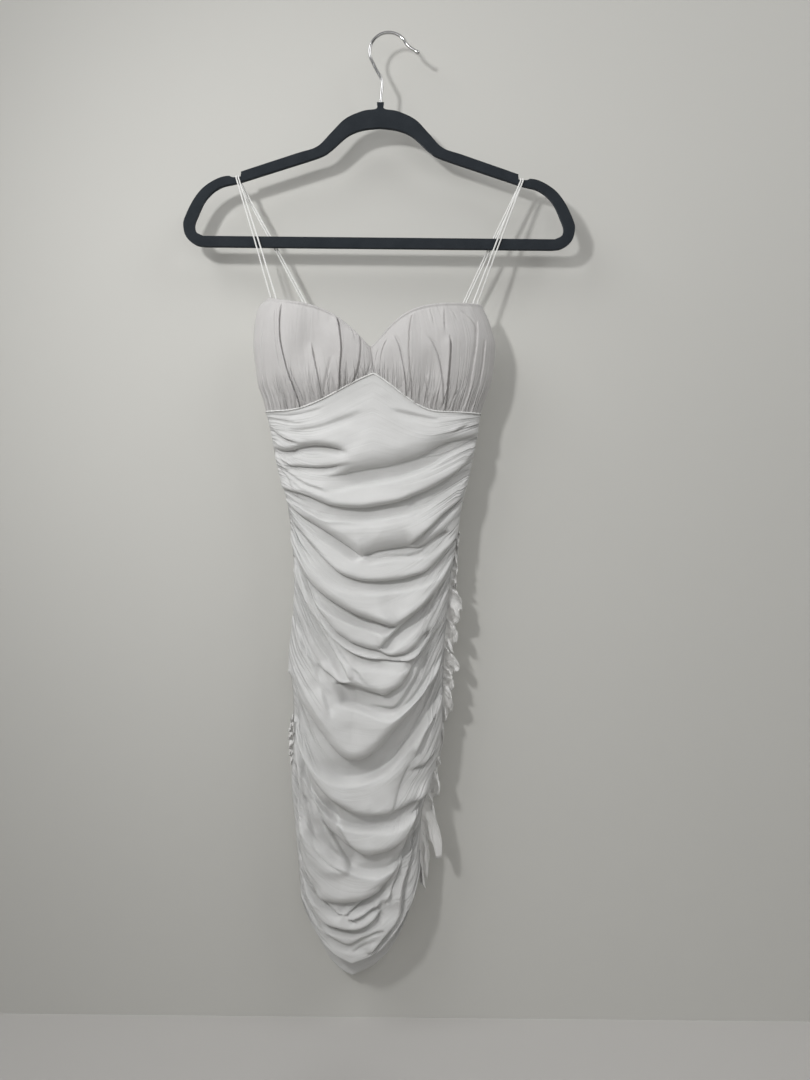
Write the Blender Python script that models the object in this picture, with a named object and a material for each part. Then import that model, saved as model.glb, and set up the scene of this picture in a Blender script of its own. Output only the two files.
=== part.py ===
"""Ruched stretch dress with gathered cups, hung by its straps on a slim hanger.

Lengths in the tables are millimetres; meshes are made in metres. +Z is up, +X is to
the right seen from the front, the front faces -Y, and the origin is the inside of the
hanger hook's crown, where the whole thing hangs.
"""

import math
from collections import namedtuple

import bpy
import bmesh
from mathutils import Vector

MM = 0.001

# ---- driving dimensions -------------------------------------------------------------

JERSEY = 1.4            # wall of the doubled stretch jersey
CUP_WALL = 3.0          # jersey over a thin foam cup
SEAM_GAP = 0.3          # between two sewn pieces
HALF_GAP = SEAM_GAP / 2

WAIST_SEAM = -434.0     # height of the seam under the bust, at the sides
SEAM_PEAK = 40.6        # how far that seam rises at the centre front
PEAK_SPREAD = 110.0     # how far down the rows still follow that point
HEM_LOW = -1050.0       # lowest point of the front hem
BACK_HEM_LOW = -1083.0  # lowest point of the back hem
SEAM_REACH_LEFT = 0.83  # share of each half over which that seam falls away
SEAM_REACH_RIGHT = 0.61
NECK_DIP = -363.0       # height of the neckline at the centre front
NECK_LEAN = -0.025      # that dip's place across, from -1 to 1
NECK_RISE = 50.0        # how far the neckline rises over the cups
NECK_LIFT_LEFT = 10.0   # and how much more at each side seam
NECK_LIFT_RIGHT = 3.0
BACK_NECK_DIP = -360.0  # height of the back's top edge in the middle

CUP_BULGE = 28.0        # how far a cup stands out from the body's own curve
CUP_APEX = 0.4          # how far up a cup its fullest point lies
FLATNESS = 0.425        # 0.5 gives an ellipse; less gives a flatter front
TUCK_PITCH = 24.0       # spacing of the small tucks down each side seam
TUCK_DEPTH = 1.2
TUCK_REACH = 0.16       # share of the panel's width that a tuck runs into it
SEAM_RUN = 6.0          # how far past its seam end a fold still shapes the cloth

HANGER_X = -9.0         # centre line of the hanger
HANGER_THICK = 5.0
WIRE_RADIUS = 1.75
HOOK_RADIUS = 21.9
TIP_RADIUS = 2.6
STRAND_RADIUS = 0.9
STRAND_SEAT = 1.0       # from a strand's slanting end down to the edge it is sewn to
NOTCH_FLOOR = -166.0
BAR_MIDDLE = -239.0     # height of the hanger's lower bar

FRONT_COLUMNS, FRONT_ROWS = 18, 76
BACK_COLUMNS, BACK_ROWS = 14, 56
CUP_COLUMNS_PER_PANEL_COLUMN, CUP_ROWS = 3, 12
BODICE_ROWS = 8

# One row for each level of the dress: how far it reaches left, right, front and back.
Ring = namedtuple("Ring", "height left right front back")
RINGS = [
    Ring(-300, -130, 100, 20, 14),
    Ring(-306, -137, 106, 21, 14),
    Ring(-316, -146, 112, 22, 15),
    Ring(-335, -150, 120, 23, 15),
    Ring(-357, -151, 125, 25, 16),
    Ring(-384, -148, 123, 27, 16),
    Ring(-403, -145, 119, 28, 17),
    Ring(-420, -139, 113, 28, 17),
    Ring(-434, -135.5, 108.8, 28, 17),
    Ring(-462, -129, 104.5, 27, 17),
    Ring(-498, -122, 98, 26, 18),
    Ring(-540, -110, 88, 26, 18),
    Ring(-580, -105, 83, 26, 18),
    Ring(-620, -102, 76, 27, 19),
    Ring(-665, -103, 72.5, 28, 19),
    Ring(-707, -107, 69.5, 28, 20),
    Ring(-760, -101.5, 69, 28, 20),
    Ring(-802, -100.5, 67.5, 27, 20),
    Ring(-851, -103, 56.5, 26, 19),
    Ring(-890, -99.5, 46, 25, 19),
    Ring(-930, -95.5, 44, 24, 18),
    Ring(-965, -92, 43.5, 22, 18),
    Ring(-1000, -90, 43, 20, 17),
    Ring(-1090, -88, 42, 18, 16),
]

# The rows of the ruched cloth: a thread that hangs at `low` meets the side seams at
# `left` and `right`; `lean` is where its lowest point lies, from -1 to 1 across the
# panel, and `round` turns its belly from a parabola (0) to a half ellipse (1).
Swag = namedtuple("Swag", "low left right lean round")
FRONT_SWAGS = [
    Swag(-434, -434, -434, 0.0, 0.0),
    Swag(-497, -476, -461, -0.2, 0.0),
    Swag(-541, -520, -494, -0.2, 0.0),
    Swag(-624, -556, -560, 0.0, 0.0),
    Swag(-690, -596, -608, 0.1, 0.0),
    Swag(-747, -646, -651, 0.1, 0.0),
    Swag(-820, -730, -702, -0.1, 0.0),
    Swag(-884, -795, -768, 0.1, 0.0),
    Swag(-926, -846, -840, 0.1, 0.1),
    Swag(-985, -926, -898, -0.2, 0.4),
    Swag(-1050, -985, -932, -0.12, 0.9),
]
BACK_SWAGS = [
    Swag(-434, -434, -434, 0.0, 0.0),
    Swag(-520, -500, -490, 0.0, 0.0),
    Swag(-620, -565, -560, 0.1, 0.0),
    Swag(-790, -700, -690, 0.0, 0.0),
    Swag(-955, -850, -810, -0.1, 0.0),
    Swag(-1083, -985, -932, -0.12, 0.1),
]

# The main folds. A fold's crease runs from its left end, through its lowest point, to
# its right end; a bow of 1 is straight and 2 a parabola. Above the crease the cloth
# rolls out over `above`, below it dips over `below`; `edge` is how softly it turns
# under. A fade is the length over which that end dies out; 0 runs into the seam.
Fold = namedtuple("Fold", "left_x left_z low_x low_z right_x right_z"
                          " left_bow right_bow depth above below edge"
                          " left_fade right_fade")
FRONT_FOLDS = [
    Fold(-131, -453, -92, -468, -78, -466, 1.3, 1.5, 3, 9, 7, 5, 0, 26),
    Fold(-124, -475, -96, -479, -40, -478, 1.5, 1.5, 6, 12, 9, 5, 0, 26),
    Fold(-118, -490, -60, -497, 103, -459, 1.5, 1.6, 6, 20, 16, 9, 0, 0),
    Fold(-122, -490, -30, -533, -18, -534, 1.3, 1.5, 4, 10, 8, 6, 0, 24),
    Fold(-117, -519, -34, -541, 98, -494, 1.6, 1.65, 9, 15, 12, 6, 0, 0),
    Fold(-110, -538, -5, -602, 20, -600, 1.1, 1.5, 8, 15, 10, 5, 0, 30),
    Fold(-20, -592, -5, -592, 84, -562, 1.5, 1.4, 6, 18, 14, 8, 20, 0),
    Fold(22, -584, 24, -584, 88, -530, 1.0, 1.05, 6, 14, 9, 5, 16, 0),
    Fold(-107, -553, -5, -624, 84, -574, 1.75, 2.2, 9, 16, 11, 5, 0, 0),
    Fold(-103, -582, 12, -672, 32, -668, 2.35, 1.5, 12, 17, 13, 5, 0, 24),
    Fold(-7, -698, -5, -697, 80, -606, 1.0, 1.15, 8, 15, 12, 6, 16, 0),
    Fold(-101, -606, 8, -705, 62, -672, 1.95, 1.5, 9, 16, 12, 6, 0, 20),
    Fold(-92, -636, -30, -733, -8, -735, 1.35, 1.5, 8, 14, 11, 6, 6, 22),
    Fold(-102, -644, -66, -740, -62, -741, 1.1, 1.0, 5, 12, 9, 6, 0, 10),
    Fold(-58, -736, -4, -747, 73, -649, 1.3, 1.65, 10, 16, 18, 7, 24, 0),
    Fold(-97, -745, -29, -820, 70, -700, 1.65, 1.75, 14, 20, 18, 6, 0, 0),
    Fold(-98, -792, -5, -884, 54, -860, 2.1, 1.4, 12, 18, 13, 6, 0, 14),
    Fold(34, -826, 36, -826, 68, -762, 1.0, 1.3, 8, 13, 10, 5, 10, 0),
    Fold(-97, -788, -76, -886, -72, -888, 1.05, 1.0, 5, 9, 8, 5, 0, 12),
    Fold(-86, -845, -14, -926, 48, -880, 2.15, 1.85, 12, 17, 18, 6, 8, 0),
    Fold(-94, -926, -40, -981, 36, -900, 2.0, 2.2, 10, 15, 11, 5, 0, 8),
    Fold(-38, -994, -36, -994, 4, -960, 1.0, 1.0, 5, 9, 8, 5, 8, 10),
    Fold(-90, -952, -34, -1011, 10, -980, 2.5, 1.75, 9, 13, 12, 5, 0, 12),
    Fold(-12, -1036, -9, -1035, 38, -938, 1.0, 1.7, 6, 9, 9, 5, 8, 8),
]
BACK_FOLDS = [
    Fold(-128, -466, -30, -482, 104, -462, 1.6, 1.6, 5, 14, 12, 7, 0, 0),
    Fold(-118, -508, 20, -536, 40, -536, 1.5, 1.5, 6, 14, 11, 6, 0, 26),
    Fold(-40, -560, -30, -561, 92, -520, 1.5, 1.6, 7, 15, 12, 6, 22, 0),
    Fold(-105, -560, -5, -612, 82, -566, 1.8, 1.8, 8, 16, 12, 6, 0, 0),
    Fold(-103, -606, -20, -662, 30, -655, 1.8, 1.6, 9, 16, 12, 6, 0, 26),
    Fold(-30, -712, -20, -713, 76, -622, 1.4, 1.7, 9, 16, 13, 6, 22, 0),
    Fold(-106, -660, -15, -752, 70, -672, 1.9, 1.9, 10, 17, 14, 6, 0, 0),
    Fold(-102, -722, -12, -808, 40, -786, 2.0, 1.6, 10, 17, 13, 6, 0, 22),
    Fold(-101, -778, -25, -858, 66, -742, 1.9, 1.8, 11, 18, 14, 6, 0, 0),
    Fold(-102, -838, -20, -915, 52, -842, 2.0, 1.9, 10, 16, 14, 6, 0, 0),
    Fold(-97, -898, -35, -968, 20, -940, 2.0, 1.7, 9, 15, 12, 6, 0, 16),
    Fold(-92, -945, -28, -1020, 40, -905, 2.1, 1.9, 8, 14, 12, 6, 0, 0),
]

# Gathers pinched into a cup. `foot` and `head` are how far across from the side seam
# (0) to the centre seam (1) the crease starts at the lower seam and ends at the
# neckline, `bow` is how far it bellies between them, `high` how far up it reaches.
Gather = namedtuple("Gather", "foot head bow high depth width")
LEFT_GATHERS = [
    Gather(0.26, 0.05, 0.03, 1.3, 2.4, 0.035),
    Gather(0.32, 0.12, 0.05, 1.3, 3.4, 0.040),
    Gather(0.56, 0.44, 0.03, 0.8, 1.6, 0.040),
    Gather(0.68, 0.68, 0.06, 1.3, 3.2, 0.040),
    Gather(0.82, 0.84, 0.06, 1.3, 2.4, 0.035),
    Gather(0.93, 0.95, 0.03, 1.3, 1.8, 0.030),
]
RIGHT_GATHERS = [
    Gather(0.17, 0.05, 0.02, 1.3, 3.0, 0.040),
    Gather(0.39, 0.36, 0.01, 1.3, 2.4, 0.045),
    Gather(0.46, 0.56, -0.02, 0.85, 1.6, 0.045),
    Gather(0.65, 0.65, 0.04, 1.3, 3.4, 0.040),
    Gather(0.75, 0.84, -0.01, 1.3, 2.2, 0.035),
    Gather(0.92, 0.94, 0.02, 1.3, 1.6, 0.030),
]
PUCKER_DEPTH = 0.8      # short gathers along a cup's lower seam

# Half of the hanger's outer and inner outlines, from its centre line outwards.
Corner = namedtuple("Corner", "reach height")
HANGER_OUTSIDE = [
    Corner(4.0, -79), Corner(4.6, -86.4), Corner(20, -89.2), Corner(40, -98.4),
    Corner(56, -114.6), Corner(71.5, -130.2), Corner(95, -138.3), Corner(152, -157.6),
    Corner(157.4, -160.4), Corner(158.6, -165.4), Corner(162, NOTCH_FLOOR),
    Corner(168, NOTCH_FLOOR), Corner(172.5, -164.6), Corner(184, -167.4),
    Corner(200, -177.4), Corner(212, -192.5), Corner(221.3, -212), Corner(223, -222),
    Corner(219.5, -234.5), Corner(208.5, -243), Corner(197, -245),
]
HANGER_INSIDE = [
    Corner(0, -107.5), Corner(20, -110), Corner(37, -117.2), Corner(56.4, -134.2),
    Corner(70, -142), Corner(110, -155.2), Corner(158.3, -171.1), Corner(181.7, -177.6),
    Corner(197.4, -191.1), Corner(207, -210.9), Corner(210.3, -221), Corner(208, -229),
    Corner(200, -233.2),
]

# The shank and the flared tip of the hook; the crown between them is an arc.
HOOK_SHANK = [(-8.8, -78.6), (-7.6, -64), (-7.4, -56), (-9.0, -49.5), (-13.2, -42.5)]
HOOK_FLARE = [(25.2, -15.8), (31.0, -19.6)]
HOOK_ARC_FROM = 208.0
HOOK_ARC_TO = 24.0

# Where each strap strand lies: on the cup's top edge, in the hanger's notch and on
# the back's top edge.
Strand = namedtuple("Strand", "name side cup_x notch_x back_x")
STRANDS = [
    Strand("strap_left_outer", -1, -131, -171.9, -70.5),
    Strand("strap_left_inner", -1, -124, -169.3, -66.5),
    Strand("strap_right_outer", 1, 103.5, 154.0, 74.5),
    Strand("strap_right_inner", 1, 98.5, 151.4, 70.5),
]

# The frills: how wide the strip stands out at each height of the seam.
Frill = namedtuple("Frill", "height width wave droop")
RIGHT_FRILL = [
    Frill(-566, 1.5, 1.5, 0), Frill(-590, 3, 2.5, 0), Frill(-622, 7, 4, 2),
    Frill(-650, 15, 5, 3), Frill(-690, 15, 5, 3), Frill(-725, 17, 5, 4),
    Frill(-760, 12, 5, 5), Frill(-790, 6, 3, 4), Frill(-836, 5, 3, 5),
    Frill(-862, 12, 4.5, 8), Frill(-900, 17, 5, 12), Frill(-930, 18, 5, 12),
    Frill(-950, 12, 4, 9),
]
LEFT_FRILL = [
    Frill(-776, 2, 1.5, 0), Frill(-790, 6, 2.5, 1), Frill(-812, 7, 2.5, 1),
    Frill(-836, 2, 1.5, 0),
]
FRILL_WALL = 1.2
FRILL_ROOT_WAVE = 0.8   # how far the waves already swing where the strip is sewn in
RIGHT_FRILL_PITCH = 22.0
LEFT_FRILL_PITCH = 11.0


# ---- curves and tables ----------------------------------------------------------------

def blend(a, b, t):
    return a + (b - a) * t


def ease(low, high, value):
    """0 below `low`, 1 above `high`, with a smooth step between."""
    t = min(1.0, max(0.0, (value - low) / (high - low)))
    return t * t * (3 - 2 * t)


def read_table(rows, key, column, at):
    """Read one column of a table at a height between its rows, as a smooth curve."""
    keys = [-getattr(row, key) for row in rows]
    values = [getattr(row, column) for row in rows]
    at = min(max(-at, keys[0]), keys[-1])
    i = 0
    while i < len(keys) - 2 and keys[i + 1] < at:
        i += 1
    step = keys[i + 1] - keys[i]
    t = (at - keys[i]) / step

    def slope(k):
        before = max(0, k - 1)
        after = min(len(keys) - 1, k + 1)
        rise_in = (values[k] - values[before]) / max(keys[k] - keys[before], 1e-9)
        rise_out = (values[after] - values[k]) / max(keys[after] - keys[k], 1e-9)
        if rise_in * rise_out <= 0:
            return 0.0
        return 2 * rise_in * rise_out / (rise_in + rise_out)

    h00 = 2 * t ** 3 - 3 * t ** 2 + 1
    h10 = t ** 3 - 2 * t ** 2 + t
    h01 = 3 * t ** 2 - 2 * t ** 3
    h11 = t ** 3 - t ** 2
    return (h00 * values[i] + h10 * step * slope(i)
            + h01 * values[i + 1] + h11 * step * slope(i + 1))


def smooth_line(points, steps):
    """A smooth line through the points, with `steps` short pieces between each pair."""
    line = []
    last = len(points) - 1
    for i in range(last):
        p0 = Vector(points[max(0, i - 1)])
        p1 = Vector(points[i])
        p2 = Vector(points[i + 1])
        p3 = Vector(points[min(last, i + 2)])
        for k in range(steps):
            t = k / steps
            line.append(0.5 * (2 * p1 + (p2 - p0) * t
                               + (2 * p0 - 5 * p1 + 4 * p2 - p3) * t ** 2
                               + (3 * p1 - p0 - 3 * p2 + p3) * t ** 3))
    line.append(Vector(points[last]))
    return line


# ---- the dress's own form ---------------------------------------------------------------

def ring(height):
    """Middle, half width, front depth and back depth of the dress at a height."""
    left = read_table(RINGS, "height", "left", height)
    right = read_table(RINGS, "height", "right", height)
    front = read_table(RINGS, "height", "front", height)
    back = read_table(RINGS, "height", "back", height)
    return (left + right) / 2, (right - left) / 2, front, back


def belly(across):
    """How far a section stands out, from 0 at the seams (-1, 1) to 1 in the middle."""
    return max(0.0, 1 - across * across) ** FLATNESS


def seam_height(across):
    """The seam under the bust, which rises to a point at the centre front."""
    reach = SEAM_REACH_RIGHT if across > 0 else SEAM_REACH_LEFT
    share = min(1.0, (abs(across) / reach) ** 1.15)
    return WAIST_SEAM + SEAM_PEAK * (1 - math.sin(share * math.pi / 2))


def neckline_height(across):
    """The sweetheart neckline over both cups."""
    away = abs(across - NECK_LEAN)
    side_lift = NECK_LIFT_RIGHT if across > NECK_LEAN else NECK_LIFT_LEFT
    rise = NECK_RISE * (1 - math.exp(-(away / 0.25) ** 1.25))
    return NECK_DIP + rise + side_lift * away ** 4


def back_neckline_height(across):
    """The top edge of the back, lower in the middle than at the side seams."""
    side = neckline_height(1 if across > 0 else -1)
    return blend(BACK_NECK_DIP, side, abs(across) ** 2.5)


def outward(across, depth, half, facing):
    """Level direction square to the dress's plain form."""
    return Vector((across * depth, facing * belly(across) * half, 0)).normalized()


def row_height(swags, low, across):
    """Height of one row of the ruched cloth at a place across the panel."""
    left = read_table(swags, "low", "left", low)
    right = read_table(swags, "low", "right", low)
    lean = read_table(swags, "low", "lean", low)
    roundness = read_table(swags, "low", "round", low)
    if across < lean:
        share = (lean - across) / (1 + lean)
        end = left
    else:
        share = (across - lean) / (1 - lean)
        end = right
    share = min(1.0, share)
    rise = blend(share ** 2.2, 1 - math.sqrt(1 - share * share), roundness)
    return blend(low, end, rise)


def crease_height(fold, x):
    """Height of a fold's crease at x, its slope there, and how far it has faded."""
    if x < fold.low_x:
        run = fold.left_x - fold.low_x
        rise = fold.left_z - fold.low_z
        bow = fold.left_bow
        fade = fold.left_fade
    else:
        run = fold.right_x - fold.low_x
        rise = fold.right_z - fold.low_z
        bow = fold.right_bow
        fade = fold.right_fade
    share = max(0.0, (x - fold.low_x) / run)
    height = fold.low_z + rise * share ** bow
    slope = rise * bow * share ** (bow - 1) / run if share > 0 else 0.0
    beyond = (share - 1) * abs(run)
    kept = 1 - ease(-fade, 0.0 if fade > 0 else SEAM_RUN, beyond)
    return height, slope, kept


def fold_relief(folds, x, z):
    """How far the folds push the cloth out, and how far they let it sag."""
    out = 0.0
    sag = 0.0
    for fold in folds:
        height, slope, kept = crease_height(fold, x)
        if kept <= 0:
            continue
        away = (z - height) / math.sqrt(1 + slope * slope)
        if away > 4.5 * fold.above or away < -4.5 * fold.below:
            continue
        roll = ease(-fold.edge, fold.edge, away)
        crest = roll * math.exp(-max(away, 0.0) / fold.above)
        trough = (1 - roll) * math.exp(min(away, 0.0) / fold.below)
        out += fold.depth * kept * (0.55 * crest - 0.45 * trough)
        sag += 0.22 * fold.depth * kept * crest * math.exp(-abs(away) / fold.edge)
    return out, sag


def tuck(seam_end, across):
    """The small tucks at a side seam, running a little way into the panel."""
    inward = 1 - abs(across)
    fade = max(0.0, 1 - inward / TUCK_REACH)
    start = ease(0, 20, WAIST_SEAM - seam_end)
    return TUCK_DEPTH * fade * start * math.cos(2 * math.pi * seam_end / TUCK_PITCH)


def panel_point(swags, folds, facing, across, low):
    """A point of the front (facing -1) or back (facing 1) panel's outer side."""
    z = row_height(swags, low, across)
    if facing < 0:
        lift = seam_height(across) - WAIST_SEAM
        z += lift * ease(WAIST_SEAM - PEAK_SPREAD, WAIST_SEAM, low)
    middle, half, front, back = ring(z)
    depth = front if facing < 0 else back
    bulge = belly(across)
    x = middle + half * across
    point = Vector((x, facing * (depth * bulge + HALF_GAP), z))
    out, sag = fold_relief(folds, x, z)
    seam_hold = bulge ** 1.2
    point += outward(across, depth, half, facing) * (out * seam_hold)
    point.z -= sag * seam_hold
    side = -1 if across < 0 else 1
    pinch = tuck(row_height(swags, low, side), across)
    point.x += side * pinch * (1 - bulge)
    point.y += facing * pinch * bulge
    return point


def waist_point(across, facing):
    """A point of the seam under the bust, and the direction out of the dress there."""
    z = seam_height(across) if facing < 0 else WAIST_SEAM
    middle, half, front, back = ring(z)
    depth = front if facing < 0 else back
    point = Vector((middle + half * across,
                    facing * (depth * belly(across) + HALF_GAP), z))
    return point, outward(across, depth, half, facing)


def gather_relief(gathers, share, up):
    """How deep the gathers of a cup pull its cloth in."""
    pull = 0.0
    for gather in gathers:
        line = blend(gather.foot, gather.head, up ** 1.6)
        line += gather.bow * math.sin(math.pi * up)
        away = (share - line) / gather.width
        kept = 1 - ease(gather.high - 0.2, gather.high, up)
        crease = math.exp(-away * away)
        roll = math.exp(-(away + 1.8) ** 2)
        pull += gather.depth * kept * (crease - 0.5 * roll)
    return pull


def cup_pinch(gathers, share, up, pleat):
    """How far the gathers and the lower seam's puckers pull a cup's cloth in."""
    pinch = gather_relief(gathers, share, up)
    pinch += PUCKER_DEPTH * pleat * (1 - ease(0.0, 0.3, up))
    return pinch * cup_sides(share) ** 0.4


def cup_sides(share):
    """1 in the middle of a cup and 0 at its side seam and centre seam."""
    return math.sin(math.pi * share) if 0 < share < 1 else 0.0


def cup_point(side, gathers, share, up, pleat):
    """A point of a cup's outer side: its share across from the side seam, and up."""
    centre = blend(0.0, NECK_LEAN, up)
    across = blend(side, centre, share)
    z = blend(seam_height(across), neckline_height(across), up)
    middle, half, front, _ = ring(z)
    if up < CUP_APEX:
        height = 1 - (1 - up / CUP_APEX) ** 2
    else:
        height = 1 - 0.75 * ((up - CUP_APEX) / (1 - CUP_APEX)) ** 2
    dome = CUP_BULGE * cup_sides(share) ** 0.75 * height
    pinch = cup_pinch(gathers, share, up, pleat)
    y = -(front * belly(across) + HALF_GAP + dome - pinch)
    return Vector((middle + half * across, y, z))


def back_bodice_point(across, up):
    """A point of the back bodice's outer side."""
    z = blend(WAIST_SEAM, back_neckline_height(across), up)
    middle, half, _, back = ring(z)
    y = back * belly(across) + HALF_GAP
    return Vector((middle + half * across, y, z))


# ---- making meshes -----------------------------------------------------------------------

def make_material(name, colour, roughness, metallic=0.0):
    material = bpy.data.materials.new(name)
    material.use_nodes = True
    shader = material.node_tree.nodes["Principled BSDF"]
    shader.inputs["Base Color"].default_value = (*colour, 1.0)
    shader.inputs["Roughness"].default_value = roughness
    shader.inputs["Metallic"].default_value = metallic
    return material


def add_object(name, data, material):
    data.materials.append(material)
    made = bpy.data.objects.new(name, data)
    collection.objects.link(made)
    return made


def grid_normal(points, i, j):
    """Direction square to the cloth at one point of a grid of points."""
    before = points[max(0, i - 1)][j]
    after = points[min(len(points) - 1, i + 1)][j]
    below = points[i][max(0, j - 1)]
    above = points[i][min(len(points[i]) - 1, j + 1)]
    return (after - before).cross(above - below).normalized()


def cloth_wall(name, points, wall, out_side, edges, material, seam=None):
    """A cloth wall: the outer points, and inner points one wall inside them.

    `out_side` is 1 or -1 for the side of the grid that faces out. `edges` names, for
    the first and last column and the first and last row, the axis along which that
    edge meets its neighbour, so that the wall's thickness stays clear of it. `seam`
    gives the outward directions of the first row where two pieces share them.
    """
    columns = len(points)
    rows = len(points[0])
    inner = []
    for i in range(columns):
        inner.append([])
        for j in range(rows):
            normal = grid_normal(points, i, j) * out_side
            for at_edge, axis in ((i == 0, edges[0]), (i == columns - 1, edges[1]),
                                  (j == 0, edges[2]), (j == rows - 1, edges[3])):
                if at_edge and axis is not None:
                    normal[axis] = 0.0
            if j == 0 and seam is not None:
                normal = seam[i]
            inner[i].append(points[i][j] - normal.normalized() * wall)
    build = bmesh.new()
    skins = []
    for layer in (points, inner):
        skins.append([[build.verts.new(point * MM) for point in column]
                      for column in layer])
    outside, inside = skins
    for i in range(columns - 1):
        for j in range(rows - 1):
            build.faces.new((outside[i][j], outside[i + 1][j],
                             outside[i + 1][j + 1], outside[i][j + 1]))
            build.faces.new((inside[i][j], inside[i][j + 1],
                             inside[i + 1][j + 1], inside[i + 1][j]))
    for i in range(columns - 1):
        for j in (0, rows - 1):
            build.faces.new((outside[i][j], outside[i + 1][j],
                             inside[i + 1][j], inside[i][j]))
    for j in range(rows - 1):
        for i in (0, columns - 1):
            build.faces.new((outside[i][j], outside[i][j + 1],
                             inside[i][j + 1], inside[i][j]))
    bmesh.ops.recalc_face_normals(build, faces=build.faces)
    mesh = bpy.data.meshes.new(name)
    build.to_mesh(mesh)
    build.free()
    mesh.shade_smooth()
    return add_object(name, mesh, material)


def tube(name, route, radius, material, radii=None):
    """A round wire or cord along a route, with closed ends."""
    curve = bpy.data.curves.new(name, "CURVE")
    curve.dimensions = "3D"
    curve.bevel_depth = radius * MM
    curve.bevel_resolution = 2
    curve.use_fill_caps = True
    spline = curve.splines.new("POLY")
    spline.points.add(len(route) - 1)
    for i, place in enumerate(route):
        spline.points[i].co = (*(Vector(place) * MM), 1.0)
        if radii is not None:
            spline.points[i].radius = radii[i]
    return add_object(name, curve, material)


X_AXIS = 0
Y_AXIS = 1
Z_AXIS = 2


def spread_from_seams(columns):
    """Places across a panel from -1 to 1, closer together near the seams."""
    even = [2 * i / columns - 1 for i in range(columns + 1)]
    return [blend(place, math.sin(place * math.pi / 2), 0.65) for place in even]


def make_body(name, swags, folds, facing, columns, rows, hem, material):
    """One long panel, its rows hanging in swags between the side seams."""
    places = spread_from_seams(columns)
    points = []
    seam = []
    for across in places:
        column = [panel_point(swags, folds, facing, across,
                              blend(WAIST_SEAM, hem, j / rows))
                  for j in range(rows + 1)]
        column[0], direction = waist_point(across, facing)
        column[0].z -= HALF_GAP
        seam.append(direction)
        points.append(column)
    return cloth_wall(name, points, JERSEY, facing,
                      (Y_AXIS, Y_AXIS, Z_AXIS, None), material, seam)


def cup_columns(side, gathers):
    """A cup's points, whose lower edge follows the front panel's, column by column."""
    half_columns = FRONT_COLUMNS // 2
    places = spread_from_seams(FRONT_COLUMNS)
    if side > 0:
        places = places[::-1]
    points = []
    seam = []
    for i in range(half_columns * CUP_COLUMNS_PER_PANEL_COLUMN + 1):
        panel_column = min(i // CUP_COLUMNS_PER_PANEL_COLUMN, half_columns - 1)
        part = i / CUP_COLUMNS_PER_PANEL_COLUMN - panel_column
        start, start_way = waist_point(places[panel_column], -1)
        stop, stop_way = waist_point(places[panel_column + 1], -1)
        share = 1 - abs(blend(places[panel_column], places[panel_column + 1], part))
        pleat = 1 if i % 2 else -1
        column = [cup_point(side, gathers, share, j / CUP_ROWS, pleat)
                  for j in range(CUP_ROWS + 1)]
        way = start_way.lerp(stop_way, part)
        column[0] = start.lerp(stop, part) - way * cup_pinch(gathers, share, 0, pleat)
        column[0].z += HALF_GAP
        if share == 1:
            for place in column:
                place.x += side * HALF_GAP
        seam.append(way)
        points.append(column)
    return points, seam


def make_cup(name, side, gathers, material):
    points, seam = cup_columns(side, gathers)
    return cloth_wall(name, points, CUP_WALL, -side,
                      (Y_AXIS, X_AXIS, Z_AXIS, Z_AXIS), material, seam)


def back_bodice_columns():
    """The points of the back above the waist seam."""
    points = []
    for across in spread_from_seams(BACK_COLUMNS):
        column = [back_bodice_point(across, j / BODICE_ROWS)
                  for j in range(BODICE_ROWS + 1)]
        column[0].z += HALF_GAP
        points.append(column)
    return points


def make_bodice_back(material):
    seam = [waist_point(across, 1)[1] for across in spread_from_seams(BACK_COLUMNS)]
    return cloth_wall("bodice_back", back_bodice_columns(), JERSEY, -1,
                      (Y_AXIS, Y_AXIS, Z_AXIS, Z_AXIS), material, seam)


def seam_edges(side):
    """The front and back panels' own points down one side seam."""
    front = [panel_point(FRONT_SWAGS, FRONT_FOLDS, -1, side,
                         blend(WAIST_SEAM, HEM_LOW, j / FRONT_ROWS))
             for j in range(FRONT_ROWS + 1)]
    back = [panel_point(BACK_SWAGS, BACK_FOLDS, 1, side,
                        blend(WAIST_SEAM, BACK_HEM_LOW, j / BACK_ROWS))
            for j in range(BACK_ROWS + 1)]
    return front, back


def edge_reach(edge, side, height):
    """How far out a panel's side edge stands at a height."""
    i = 0
    while i < len(edge) - 2 and edge[i + 1].z > height:
        i += 1
    share = min(1.0, (edge[i].z - height) / (edge[i].z - edge[i + 1].z))
    return side * blend(edge[i].x, edge[i + 1].x, share)


def make_frill(name, side, table, pitch, material):
    """A gathered strip that stands out from a side seam in waves."""
    edges = seam_edges(side)
    top = table[0].height
    bottom = table[-1].height
    steps = round((top - bottom) / pitch * 6)
    across_steps = 3
    points = []
    for i in range(steps + 1):
        height = blend(top, bottom, i / steps)
        width = read_table(table, "height", "width", height)
        wave = read_table(table, "height", "wave", height)
        droop = read_table(table, "height", "droop", height)
        root = max(edge_reach(edge, side, height) for edge in edges) + SEAM_GAP
        turn = 2 * math.pi * (top - height) / pitch
        swing = math.sin(turn + 0.5 * math.sin(0.7 * turn))
        reach = width * (1 + 0.25 * math.sin(2.3 * turn + 1))
        column = []
        for k in range(across_steps + 1):
            out = k / across_steps
            column.append(Vector((side * (root + reach * out),
                                  swing * blend(FRILL_ROOT_WAVE, wave, out),
                                  height - droop * out * out)))
        points.append(column)
    return cloth_wall(name, points, FRILL_WALL, side, (None,) * 4, material)


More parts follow.
